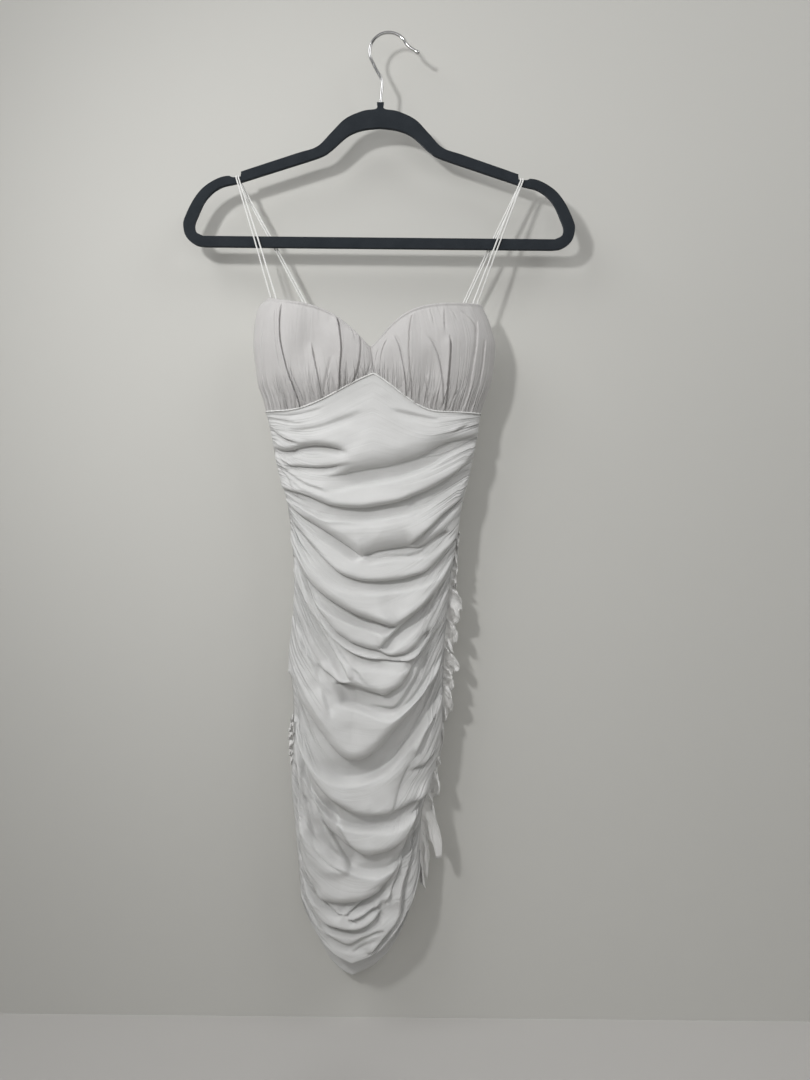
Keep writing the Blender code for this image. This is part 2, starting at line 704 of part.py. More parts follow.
def sewn_end(columns, x, wall, facing):
    """Where a strand meets the top edge of a made piece, over the middle of its wall."""
    tops = sorted((column[-1] for column in columns), key=lambda place: place.x)
    i = 0
    while i < len(tops) - 2 and tops[i + 1].x < x:
        i += 1
    end = tops[i].lerp(tops[i + 1], (x - tops[i].x) / (tops[i + 1].x - tops[i].x))
    middle, half, front, back = ring(end.z)
    depth = front if facing < 0 else back
    end -= outward((end.x - middle) / half, depth, half, facing) * (wall / 2)
    end.z += STRAND_SEAT
    return end


def make_strand(strand, material):
    """One strap strand: cup, notch and back edge, along a smooth line."""
    gathers = LEFT_GATHERS if strand.side < 0 else RIGHT_GATHERS
    foot = sewn_end(cup_columns(strand.side, gathers)[0], strand.cup_x, CUP_WALL, -1)
    clear = HANGER_THICK / 2 + SEAM_GAP + STRAND_RADIUS
    over = NOTCH_FLOOR + SEAM_GAP + STRAND_RADIUS
    notch = Vector((strand.notch_x, 0, over))
    share = (BAR_MIDDLE - notch.z) / (foot.z - notch.z)
    at_bar = notch.lerp(foot, share)
    at_bar.y = min(at_bar.y, -clear)
    end = sewn_end(back_bodice_columns(), strand.back_x, JERSEY, 1)
    share = (BAR_MIDDLE - notch.z) / (end.z - notch.z)
    behind = notch.lerp(end, share)
    behind.y = max(behind.y, clear)
    front_top = Vector((strand.notch_x, -clear, over - 3.0))
    back_top = Vector((strand.notch_x, clear, over - 3.0))
    route = [foot]
    route += [foot.lerp(at_bar, t) for t in (0.33, 0.66)]
    route.append(at_bar)
    route += [at_bar.lerp(front_top, t) for t in (0.33, 0.66, 0.93)]
    for turn in range(0, 181, 30):
        angle = math.radians(turn)
        route.append(Vector((strand.notch_x, -clear * math.cos(angle),
                             over - 1.6 + 1.6 * math.sin(angle) ** 0.5)))
    route += [back_top.lerp(behind, t) for t in (0.07, 0.33, 0.66)]
    route.append(behind)
    route += [behind.lerp(end, t) for t in (0.33, 0.66)]
    route.append(end)
    return tube(strand.name, route, STRAND_RADIUS, material)


def make_hanger_body(material):
    """The flat ring of the hanger: arched arms, strap notches and the lower bar."""
    curve = bpy.data.curves.new("hanger_body", "CURVE")
    curve.dimensions = "2D"
    curve.fill_mode = "BOTH"
    curve.extrude = HANGER_THICK / 2 * MM
    for corners in (HANGER_OUTSIDE, HANGER_INSIDE):
        half = smooth_line([(c.reach, c.height, 0) for c in corners], 3)
        outline = [(p.x, p.y) for p in half]
        mirrored = [(-x, y) for x, y in reversed(outline) if x > 0.01]
        outline += mirrored
        spline = curve.splines.new("POLY")
        spline.points.add(len(outline) - 1)
        for i, (x, y) in enumerate(outline):
            spline.points[i].co = (x * MM, y * MM, 0.0, 1.0)
        spline.use_cyclic_u = True
    made = add_object("hanger_body", curve, material)
    made.location = (HANGER_X * MM, 0, 0)
    made.rotation_euler = (math.pi / 2, 0, 0)
    return made


def make_hanger_hook(material):
    """The bent wire: a shank, an open crown and a small ball at the tip."""
    centre_z = WIRE_RADIUS - HOOK_RADIUS
    flat = list(HOOK_SHANK)
    arc_steps = 14
    for k in range(arc_steps + 1):
        angle = math.radians(blend(HOOK_ARC_FROM, HOOK_ARC_TO, k / arc_steps))
        flat.append((HOOK_RADIUS * math.cos(angle),
                     centre_z + HOOK_RADIUS * math.sin(angle)))
    flat += HOOK_FLARE
    route = smooth_line([(x, 0, z) for x, z in flat], 2)
    radii = [1.0] * len(route)
    tip = route[-1]
    along = (route[-1] - route[-2]).normalized()
    ball_steps = 6
    swell = TIP_RADIUS / WIRE_RADIUS
    start = 0.25 * math.pi
    for k in range(ball_steps + 1):
        angle = blend(start, 0.97 * math.pi, k / ball_steps)
        route.append(tip + along * TIP_RADIUS * (math.cos(start) - math.cos(angle) + 0.1))
        radii.append(swell * math.sin(angle))
    return tube("hanger_hook", route, WIRE_RADIUS, material, radii)


# ---- the model ------------------------------------------------------------------------------

for existing in list(bpy.data.objects):
    bpy.data.objects.remove(existing, do_unlink=True)

collection = bpy.data.collections.new("bodycon_dress")
bpy.context.scene.collection.children.link(collection)

body_jersey = make_material("body_jersey", (0.70, 0.70, 0.69), 0.55)
cup_jersey = make_material("cup_jersey", (0.62, 0.60, 0.58), 0.55)
strap_cord = make_material("strap_cord", (0.78, 0.78, 0.76), 0.5)
flocking = make_material("flocking", (0.022, 0.026, 0.031), 0.95)
bright_wire = make_material("bright_wire", (0.72, 0.72, 0.72), 0.18, 1.0)

make_cup("cup_left", -1, LEFT_GATHERS, cup_jersey)
make_cup("cup_right", 1, RIGHT_GATHERS, cup_jersey)
make_bodice_back(body_jersey)
make_body("body_front", FRONT_SWAGS, FRONT_FOLDS, -1, FRONT_COLUMNS, FRONT_ROWS,
          HEM_LOW, body_jersey)
make_body("body_back", BACK_SWAGS, BACK_FOLDS, 1, BACK_COLUMNS, BACK_ROWS,
          BACK_HEM_LOW, body_jersey)
make_frill("ruffle_right", 1, RIGHT_FRILL, RIGHT_FRILL_PITCH, body_jersey)
make_frill("ruffle_left", -1, LEFT_FRILL, LEFT_FRILL_PITCH, body_jersey)
for strand_row in STRANDS:
    make_strand(strand_row, strap_cord)
make_hanger_body(flocking)
make_hanger_hook(bright_wire)
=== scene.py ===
"""A ruched stretch dress with gathered cups, hung by its straps on a slim flocked hanger."""

import math
from collections import namedtuple

import bmesh
import bpy
import numpy as np
from mathutils import Matrix, Vector


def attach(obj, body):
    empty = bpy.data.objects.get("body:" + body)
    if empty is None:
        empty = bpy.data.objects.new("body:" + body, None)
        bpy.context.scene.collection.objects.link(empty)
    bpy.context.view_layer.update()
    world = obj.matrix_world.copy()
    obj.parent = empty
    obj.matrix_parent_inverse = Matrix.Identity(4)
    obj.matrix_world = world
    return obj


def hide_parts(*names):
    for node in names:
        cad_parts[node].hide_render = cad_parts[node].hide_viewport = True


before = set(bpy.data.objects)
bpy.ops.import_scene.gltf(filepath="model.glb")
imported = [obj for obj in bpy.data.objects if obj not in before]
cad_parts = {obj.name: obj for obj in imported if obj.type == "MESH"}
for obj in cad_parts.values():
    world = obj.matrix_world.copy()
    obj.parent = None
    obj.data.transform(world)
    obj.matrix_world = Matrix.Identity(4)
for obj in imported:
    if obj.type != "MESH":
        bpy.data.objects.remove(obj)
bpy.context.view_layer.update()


# ---- Front panel of the skirt and midriff --------------------------------------------
# One long panel of doubled stretch jersey. It is cut much longer than it hangs and
# gathered on both side seams, so its rows fall in swags and its folds run from seam to
# seam or die out across the belly. All tables are in millimetres.

MM = 0.001
JERSEY = 1.4                # wall of the doubled jersey
HALF_GAP = 0.15             # half the gap between pieces that are sewn together
WAIST_SEAM = -434.0         # the seam under the bust, at the sides
SEAM_PEAK = 40.6            # how far that seam rises to its point in front
SEAM_REACH = (0.83, 0.61)   # where it starts to rise, left and right
SEAM_POWER = 1.15
PEAK_SPREAD = 110.0         # how far below its point the rows still follow it
HEM_LOW = -1052.0
FRONT_CORNER = 5.0          # how far the hem's point hangs below its round line
FRONT_CUT = (0.25, 0.82)    # the panel laid flat, in metres
FLATNESS = 0.38             # the lower, the flatter the dress hangs
SWAG_POWER = 2.2            # the higher, the rounder the rows hang

# How far the dress reaches left, right, front and back at each height.
FORM = np.array([
    (-300, -130, 100, 20, 14), (-306, -137, 106, 21, 14), (-316, -146, 112, 22, 15),
    (-335, -150, 120, 23, 15), (-357, -151, 125, 25, 16), (-384, -148, 123, 27, 16),
    (-403, -145, 119, 28, 17), (-420, -139, 113, 28, 17), (-434, -135.5, 108.8, 28, 17),
    (-462, -129, 104.5, 27, 17), (-498, -122, 98, 26, 18), (-540, -110, 88, 26, 18),
    (-580, -105, 83, 26, 18), (-620, -102, 76, 27, 19), (-665, -103, 72.5, 28, 19),
    (-707, -107, 69.5, 28, 20), (-760, -101.5, 69, 28, 20), (-802, -100.5, 67.5, 27, 20),
    (-851, -103, 56.5, 26, 19), (-890, -99.5, 46, 25, 19), (-930, -95.5, 44, 24, 18),
    (-965, -92, 43.5, 22, 18), (-1000, -90, 43, 20, 17), (-1090, -88, 42, 18, 16),
])

# The rows of the cloth: the height at the lowest point, at the left and right seams,
# where that low point lies (-1 to 1) and how round the belly is on either side.
FRONT_ROWS = np.array([
    (-434, -434, -434, 0.0, 0.0, 0.0), (-497, -476, -461, -0.2, 0.0, 0.0),
    (-541, -520, -494, -0.2, 0.0, 0.0), (-624, -556, -560, 0.0, 0.0, 0.0),
    (-690, -596, -608, 0.1, 0.0, 0.0), (-747, -646, -651, 0.1, 0.0, 0.0),
    (-820, -730, -702, -0.1, 0.0, 0.0), (-884, -795, -768, 0.1, 0.0, 0.0),
    (-926, -846, -840, 0.1, 0.1, 0.1), (-985, -926, -898, -0.2, 0.2, 0.4),
    (-1052, -985, -932, -0.12, 0.0, 0.9),
])

# A fold: how deep it is, how far its roll runs above the crease and its shaded dip
# below, how far the roll hangs over the crease, the lengths over which its two ends
# die out, and the crease itself as (x, z) places. The roll is on the crease's left.
Fold = namedtuple("Fold", "depth above below lip start_fade end_fade crease")
FRONT_FOLDS = [
    Fold(1.6, 8, 7, 0, 10, 18, [(-111.5, -456), (-93.5, -455), (-71.5, -452), (-51.5, -445),
         (-36, -439), (-18.5, -434)]),
    Fold(1.6, 6, 6, 0, 5, 12, [(-111.5, -438.5), (-87.5, -435.5), (-65, -430)]),
    Fold(1.6, 6, 7, 0, 10, 5, [(4, -432.5), (23.5, -436), (41.5, -439.5), (61.5, -442.5)]),
    Fold(4, 7, 4, 1, 0, 8, [(-131, -451), (-123.5, -457), (-115, -462.5), (-105.5, -466),
         (-95, -468.5)]),
    Fold(8, 11, 6, 2, 5, 14, [(-128.5, -470.5), (-120, -476.5), (-110.5, -478.5), (-102, -477),
         (-94, -474.5), (-82.5, -472.5), (-71.5, -472.5), (-60, -474), (-50, -476.5),
         (-38, -482.5)]),
    Fold(4.5, 8, 6, 1.2, 6, 26, [(-113, -494.5), (-94, -496), (-71, -497), (-50, -494.5),
         (-31, -490.5)]),
    Fold(10, 22, 15, 1.2, 22, 0, [(-69, -509.5), (-49, -505), (-30, -500), (0, -495), (22, -489.5),
         (45.5, -481), (57.5, -474), (70, -468), (82, -464.5), (93.5, -462.5), (102.5, -460.5)]),
    Fold(2, 5, 4, 0, 8, 6, [(71, -459), (77.5, -455), (85.5, -450.5), (94.5, -447)]),
    Fold(2.2, 4, 3, 0.5, 0, 4, [(-129.5, -471.5), (-118.5, -484), (-110.5, -494.5)]),
    Fold(2.4, 4, 3.5, 0.5, 0, 9, [(-128.5, -483), (-111.5, -499), (-98, -508.5), (-84.5, -515),
         (-71, -519.5), (-57.5, -525)]),
    Fold(2.6, 4, 3, 0.6, 0, 3, [(-126, -490), (-113.5, -502.5), (-101, -519.5)]),
    Fold(1.4, 3, 3, 0, 5, 10, [(-114, -501.5), (-102, -512), (-89, -520.5), (-71, -528),
         (-55, -533)]),
    Fold(9.5, 11, 13, 2.0, 0, 0, [(-120, -516.5), (-113.5, -521), (-102, -524), (-86.5, -528),
         (-71, -534), (-58.5, -538.5), (-41, -541), (-24, -541.5), (-7, -539), (10.5, -535.5),
         (23.5, -531.5), (49.5, -520.5), (70, -509), (85, -498), (95.5, -487.0), (103.0, -476.0)]),
    Fold(1.6, 5, 5, 0, 30, 10, [(-73, -556), (-48.5, -557.5), (-24, -557.5), (1.5, -554),
         (20.5, -549.5), (40.5, -540.5), (59, -529)]),
    Fold(9, 16, 8, 2, 0, 2, [(-117.5, -529.5), (-112, -535.5), (-102.5, -543), (-93.5, -550.5),
         (-80, -559), (-64.5, -568.5), (-49, -578.5), (-34, -588.5), (-22.5, -597)]),
    Fold(9, 26, 10, 1.6, 5, 5, [(-23.5, -596.5), (-14.5, -592), (-4.5, -589), (11, -586.5),
         (25, -584.5), (38, -585.5), (50.5, -580), (62.5, -571.5), (75, -567.5)]),
    Fold(2.6, 4, 5, 0, 10, 10, [(-14.5, -596), (0, -595.5), (14, -594.5), (27.5, -594), (41, -590),
         (52, -583.5)]),
    Fold(6.5, 10, 5, 1.6, 3, 0, [(29.5, -581.5), (34.5, -577.5), (45, -566.5), (62.5, -552),
         (81, -536.5), (87.0, -530.0), (92.0, -518.5)]),
    Fold(7.5, 10, 11, 1.2, 0, 0, [(-114, -542), (-105, -551.5), (-95.5, -564.5), (-84, -577.5),
         (-70.5, -592.5), (-57.5, -605), (-44.5, -614.5), (-28.5, -620.5), (-14, -622.5),
         (2.5, -622.5), (20, -620.5), (33.5, -617), (46.5, -612.5), (59.5, -601.5), (70, -589),
         (80, -577.5)]),
    Fold(1.6, 3.5, 3, 0, 0, 8, [(-111, -546.5), (-105, -558), (-95, -574), (-83, -589.5),
         (-71.5, -601.5)]),
    Fold(12.5, 17, 9, 3.2, 0, 4, [(-109, -578.5), (-101.5, -591), (-94, -606), (-83.5, -620),
         (-72, -631.5), (-58.5, -642.5), (-41.5, -653.5), (-29.5, -660), (-18, -664), (-6, -667),
         (6, -669), (13, -671)]),
    Fold(4.5, 9, 12, 0, 14, 8, [(7, -668), (18, -664.5), (30.5, -657.5), (42.5, -648),
         (54.5, -637)]),
    Fold(9.5, 14, 9, 2.4, 3, 0, [(-3.5, -695), (2, -690), (9.5, -682), (21.5, -671),
         (32.5, -662.5), (42.5, -655.5), (54.5, -643), (65, -630.5), (74, -617), (79, -606.5)]),
    Fold(7, 12, 6, 1.6, 0, 3, [(-106, -592), (-100, -601), (-89, -618.5), (-81.5, -634),
         (-72, -649.5), (-62, -663.5), (-50.5, -677.5), (-39, -686.5), (-30, -692), (-17, -696.5),
         (-5.5, -699), (3, -702.5), (11, -703), (22, -700), (33, -692.5), (43, -682), (52, -679)]),
    Fold(4.5, 5, 10, 1, 30, 14, [(-81, -650.5), (-69.5, -665), (-54.5, -682.5), (-41, -695),
         (-28, -703), (-14.5, -707), (2, -708.5), (16, -708.5), (27.5, -706.5), (39.5, -703),
         (48, -698)]),
    Fold(2.6, 4.5, 3.5, 0.4, 8, 10, [(-79, -645), (-72, -656), (-63, -670.5), (-53.5, -685.5),
         (-44.5, -699.5), (-35.5, -710.5), (-25.5, -720.5), (-12.5, -734.5)]),
    Fold(8, 11, 7, 1.8, 0, 4, [(-101.5, -615), (-91, -640), (-81.5, -658.5), (-74.5, -668.5),
         (-62.5, -690), (-49.5, -708.5), (-42, -718.5), (-33, -728.5)]),
    Fold(4, 8, 5, 1, 5, 3, [(-72.5, -715), (-67.5, -720.5), (-57, -728), (-47, -732.5),
         (-33, -733.5)]),
    Fold(2, 3.5, 3, 0.3, 0, 10, [(-99, -608), (-90, -626.5), (-82.5, -643), (-73, -659.5),
         (-65, -673.5)]),
    Fold(2.6, 7, 6, 0.6, 10, 0, [(-66, -738), (-71.5, -728.5), (-78, -713), (-83.5, -698),
         (-89, -682.5), (-94.5, -668.5), (-99.5, -653), (-103, -635.5)]),
    Fold(3, 4.5, 3.5, 0.4, 6, 0, [(-86, -708.5), (-89.5, -696), (-93, -683.5), (-100.5, -669),
         (-104, -654)]),
    Fold(3, 6, 9, 0.4, 8, 8, [(-51, -773), (-57, -760.5), (-62, -749.5), (-67.5, -738.5)]),
    Fold(12, 16, 20, 2.6, 8, 45, [(-57, -738), (-44, -736.5), (-31.5, -738.5), (-18.5, -742),
         (-6, -745.5), (1.5, -747), (8, -743), (20, -734.5), (33, -716), (43, -702.5),
         (53, -688.5), (62, -673), (72, -654.5)]),
    Fold(2.8, 5, 5, 0.4, 14, 20, [(-17, -761), (-5, -760), (6, -760), (12.5, -757.5), (23, -744.5),
         (33.5, -730), (43, -713), (52, -697.5)]),
    Fold(16, 24, 23, 4.2, 0, 0, [(-102, -733), (-96, -744.5), (-91.5, -756.5), (-83.5, -770),
         (-74, -783), (-62.5, -797.5), (-52.5, -809.5), (-42, -817.5), (-33.5, -821),
         (-22, -820.5), (-10, -815), (-0.5, -807), (10.5, -794), (21.5, -780.5), (34.5, -764.5),
         (48, -748.5), (60.5, -730.5), (71, -704.5)]),
    Fold(2.2, 5, 5, 0, 16, 20, [(-21, -847), (-9.5, -844.5), (4.5, -836), (15.5, -828),
         (25.5, -815.5), (34.5, -800.5), (43, -787.5)]),
    Fold(1.6, 3.5, 3.5, 0, 12, 20, [(3.5, -830), (15.5, -821), (25, -808), (34, -793.5),
         (40.5, -779.5)]),
    Fold(12, 15, 14, 2.6, 0, 0, [(-95.5, -791), (-91, -805), (-81.5, -825), (-69, -844.5),
         (-55.5, -860), (-43, -870.5), (-31.5, -878), (-19.5, -882), (-7.5, -883), (5, -882.5),
         (15, -879.5), (29, -873), (41, -867.5), (51.5, -861.5)]),
    Fold(4, 14, 20, 0, 12, 12, [(9, -879.5), (17, -858.5), (25, -839.5), (34, -823)]),
    Fold(6, 9, 6, 1.2, 5, 0, [(38, -819.5), (41.5, -812.5), (45, -804.5), (50.5, -792.5),
         (57.5, -778.5)]),
    Fold(3, 6, 6, 0.5, 10, 0, [(29, -834), (40, -831.5), (51, -827), (60, -815.5)]),
    Fold(3, 5.5, 4, 0.4, 8, 0, [(-71.5, -911.5), (-77, -898.5), (-81.5, -880), (-86, -860.5),
         (-90.5, -834.5), (-94.5, -803.5)]),
    Fold(12, 17, 20, 2.8, 0, 0, [(-95, -799.5), (-93, -808.5), (-87, -828), (-81.5, -849),
         (-73, -867.5), (-65.5, -886.5), (-58, -898.5), (-48.5, -908), (-36, -919), (-23.5, -925),
         (-13, -927), (-7, -925.5), (4, -922), (16, -914.5), (26.5, -904.5), (35, -894),
         (42.5, -878.5), (47, -868.5)]),
    Fold(7, 9, 15, 0.8, 6, 12, [(-31.5, -948.5), (-39, -934), (-44, -924), (-52.5, -909),
         (-58, -898.5), (-65.5, -881), (-72.5, -865)]),
    Fold(9, 15, 9, 2.4, 0, 0, [(-98.5, -832.5), (-96.5, -860.5), (-94, -894.5), (-91, -920),
         (-88, -939), (-85.5, -948.5), (-74, -965.5), (-61.5, -976.5), (-47.5, -981.5),
         (-35.5, -981.5), (-22, -977.5), (-9, -970.5), (3.5, -961.5), (11.5, -951.5), (20, -935.5),
         (27, -918), (34.5, -901), (41.5, -881.5)]),
    Fold(6, 6, 7, 1.8, 10, 5, [(-75, -965.5), (-67, -973.5), (-56.5, -985), (-47, -992.5),
         (-40, -995.5)]),
    Fold(5, 6, 5, 1.4, 2, 8, [(-38.5, -996), (-30.5, -988.5), (-17.5, -979), (-4.5, -971),
         (6.5, -961.5)]),
    Fold(5, 5, 5, 1.6, 3, 4, [(-35.5, -999.5), (-29.5, -998), (-20.5, -993), (-8.5, -986.5),
         (2.5, -984.5)]),
    Fold(8, 10, 7, 2, 0, 6, [(-92.5, -940), (-89.5, -957.5), (-84, -976), (-73, -996),
         (-60.5, -1007), (-47, -1011), (-32.5, -1012.5), (-20.5, -1010), (-8, -1002), (2, -990.5)]),
    Fold(3.6, 8, 8, 0, 8, 10, [(-63.5, -1019), (-53, -1024.5), (-39.5, -1030.5), (-30.5, -1029.5),
         (-18.5, -1021.5), (-5, -1014), (7, -1011.5)]),
    Fold(2.4, 5, 6, 0, 6, 4, [(-32.5, -1040.5), (-21.5, -1032.5), (-10.5, -1024.5), (0.5, -1017)]),
    Fold(7, 9, 4, 1.6, 4, 0, [(-11.5, -1042.5), (-6, -1035), (3, -1024), (10.5, -1014),
         (18.5, -1003.5), (23, -994), (24, -979), (26.5, -961), (32, -942.5), (37, -923),
         (39.5, -905.5)]),
    Fold(5, 7, 6, 1, 6, 0, [(5.5, -984.5), (11.5, -969), (20, -947), (27, -925), (34, -905.5),
         (40.5, -886)]),
    Fold(6, 7, 4, 0.4, 8, 0, [(8.5, -1029.5), (19.5, -1015), (29.5, -999), (36.5, -982),
         (41, -966.5), (44.5, -951.5), (46, -933)]),
    Fold(3.5, 9, 12, 0.3, 10, 12, [(-38, -947.5), (-48, -944.5), (-60.5, -936), (-69.5, -923.5),
         (-76.5, -906), (-81.5, -882.5)]),
    Fold(1.8, 4, 4, 0, 0, 10, [(-94, -926.5), (-91.5, -954), (-86.5, -979.5), (-77.5, -1002.5),
         (-64.5, -1023.5)]),
]


def smooth_read(keys, values, at):
    """Reads a table as a smooth curve that never overshoots its rows."""
    keys = np.asarray(keys, float)
    values = np.asarray(values, float)
    step = np.diff(keys)
    rise = np.diff(values) / step
    before = np.concatenate([[0.0], rise])
    after = np.concatenate([rise, [0.0]])
    same_way = before * after > 0
    total = np.where(same_way, before + after, 1.0)
    slope = np.where(same_way, 2 * before * after / total, 0.0)
    at = np.clip(at, keys[0], keys[-1])
    i = np.clip(np.searchsorted(keys, at) - 1, 0, len(keys) - 2)
    t = (at - keys[i]) / step[i]
    return ((2 * t ** 3 - 3 * t ** 2 + 1) * values[i]
            + (t ** 3 - 2 * t ** 2 + t) * step[i] * slope[i]
            + (3 * t ** 2 - 2 * t ** 3) * values[i + 1]
            + (t ** 3 - t ** 2) * step[i] * slope[i + 1])


def ease(low, high, value):
    """0 below `low`, 1 above `high`, with a smooth step between."""
    t = np.clip((value - low) / (high - low), 0.0, 1.0)
    return t * t * (3 - 2 * t)


def form_at(height):
    """Middle, half width, front depth and back depth of the dress at some heights."""
    left, right, front, back = [smooth_read(-FORM[:, 0], FORM[:, k], -height)
                                for k in (1, 2, 3, 4)]
    return (left + right) / 2, (right - left) / 2, front, back


def belly(across):
    """How far a section stands out, from 0 at the seams (-1, 1) to 1 in the middle."""
    return np.clip(1 - across * across, 0.0, 1.0) ** FLATNESS


def seam_height(across):
    """The seam under the bust, which rises to a point at the centre front."""
    left, right = SEAM_REACH
    reach = np.where(across > 0, right, left)
    share = np.minimum(1.0, (np.abs(across) / reach) ** SEAM_POWER)
    return WAIST_SEAM + SEAM_PEAK * (1 - np.sin(share * np.pi / 2))


def row_height(rows, low, across):
    """Height of the rows of the ruched cloth at places across the panel."""
    left, right, lean, left_round, right_round = [
        smooth_read(-rows[:, 0], rows[:, k], -low) for k in (1, 2, 3, 4, 5)]
    on_left = across < lean
    roundness = np.where(on_left, left_round, right_round)
    share = np.where(on_left, (lean - across) / (1 + lean), (across - lean) / (1 - lean))
    share = np.clip(share, 0.0, 1.0)
    hanging = share ** SWAG_POWER
    rounded = 1 - np.sqrt(1 - share ** 2)
    rise = hanging * (1 - roundness) + rounded * roundness
    return low + (np.where(on_left, left, right) - low) * rise


def smooth_line(places, steps):
    """A smooth line through the places, with `steps` short pieces between each pair."""
    places = np.asarray(places, float)
    held = np.vstack([places[:1], places, places[-1:]])
    t = np.arange(steps)[:, None] / steps
    line = []
    for i in range(len(places) - 1):
        p0, p1, p2, p3 = held[i:i + 4]
        line.append(0.5 * (2 * p1 + (p2 - p0) * t
                           + (2 * p0 - 5 * p1 + 4 * p2 - p3) * t ** 2
                           + (3 * p1 - p0 - 3 * p2 + p3) * t ** 3))
    line.append(places[-1:])
    return np.vstack(line)


CREASE_STEPS = 5
FADE_LENGTH = 1.3           # an end dies out over this many times its fade
FADE_SPREAD = 0.9           # and sooner the farther from the crease
END_NARROW = 0.65           # how much a fold sewn into a seam narrows there
END_LOSS = 0.35             # and how much of its depth it loses


def from_crease(fold, x, z):
    """Signed distance from a crease, the way across it, how much stays and how narrow."""
    line = smooth_line(fold.crease, CREASE_STEPS)
    runs = np.diff(line, axis=0)
    lengths = np.hypot(runs[:, 0], runs[:, 1])
    starts = np.concatenate([[0.0], np.cumsum(lengths)])
    nearest = np.full(x.shape, 1e9)
    away = np.zeros(x.shape)
    along = np.zeros(x.shape)
    over_x = np.zeros(x.shape)
    over_z = np.zeros(x.shape)
    for (px, pz), (rx, rz), length, start in zip(line, runs, lengths, starts):
        t = np.clip(((x - px) * rx + (z - pz) * rz) / length ** 2, 0.0, 1.0)
        dx = x - px - t * rx
        dz = z - pz - t * rz
        distance = np.hypot(dx, dz)
        nearer = distance < nearest
        side = np.where(rx * dz - rz * dx < 0, -1.0, 1.0)
        nearest = np.where(nearer, distance, nearest)
        away = np.where(nearer, distance * side, away)
        along = np.where(nearer, start + t * length, along)
        over_x = np.where(nearer, rz / length, over_x)
        over_z = np.where(nearer, -rx / length, over_z)
    left_over = starts[-1] - along
    kept = np.ones(x.shape)
    narrow = np.ones(x.shape)
    for fade, gone in ((fold.start_fade, along), (fold.end_fade, left_over)):
        if fade > 0:
            kept *= ease(0.0, FADE_LENGTH * fade + FADE_SPREAD * nearest, gone)
        else:
            at_seam = np.exp(-gone / (fold.above + fold.below))
            narrow *= 1 - END_NARROW * at_seam
            kept *= 1 - END_LOSS * at_seam
    return away, over_x, over_z, kept, narrow


def near_fold(fold, x, z, reach):
    """Which places lie close enough to a fold to feel it."""
    crease = np.asarray(fold.crease)
    low = crease.min(axis=0) - reach
    high = crease.max(axis=0) + reach
    return (x > low[0]) & (x < high[0]) & (z > low[1]) & (z < high[1])


DRAWN_REACH = 8.0           # rows this close to a crease move towards it
DRAWN_DEPTH = 3.5           # if its fold is at least this deep


def draw_to_creases(folds, x, z):
    """Moves the rows of points towards the nearest creases, where the cloth turns."""
    first = np.full(x.shape, 3.0 * DRAWN_REACH)
    second = np.full(x.shape, 3.0 * DRAWN_REACH)
    toward = np.zeros(x.shape)
    for fold in folds:
        if fold.depth < DRAWN_DEPTH:
            continue
        here = near_fold(fold, x, z, 2 * DRAWN_REACH)
        away, _, over_z, kept, _ = from_crease(fold, x[here], z[here])
        size = np.abs(away)
        nearer = size < first[here]
        second[here] = np.where(nearer, first[here], np.minimum(second[here], size))
        steep = np.sign(over_z) * np.minimum(2.0, 1 / np.maximum(np.abs(over_z), 0.1))
        toward[here] = np.where(nearer, np.sign(away) * steep * kept, toward[here])
        first[here] = np.where(nearer, size, first[here])
    width = np.minimum(DRAWN_REACH, (first + second) / 2)
    move = first * (1 - np.clip(first / np.maximum(width, 1e-6), 0.0, 1.0))
    return z + toward * move


# A fold's section, in shares of its own depth and widths. Its roll turns up from the
# crease and dies out in a tail. Its dip lies below, and a wide one bags like a pocket.
FOLD_REACH = 4.0
DIP_SHARE = 0.5
DIP_WIDTH = 1.3
TURN_LEAST = 0.2
TURN_WIDE = 0.65
WIDE_ROLL = 14.0
TAIL_LENGTH = 1.2
TAIL_POWER = 1.35
BAG_FROM = 8.0
BAG_OVER = 6.0
BAG_START = 0.3
BAG_DEEPER = 0.6
BAG_END = 0.75
SMALL_ROLL = 6.5
HELD_AT_SEAMS = 0.95
SMALL_HELD = 0.45
DROOP_POWER = 0.7
DROOP_TAIL = 0.8
DROOP = 1.9


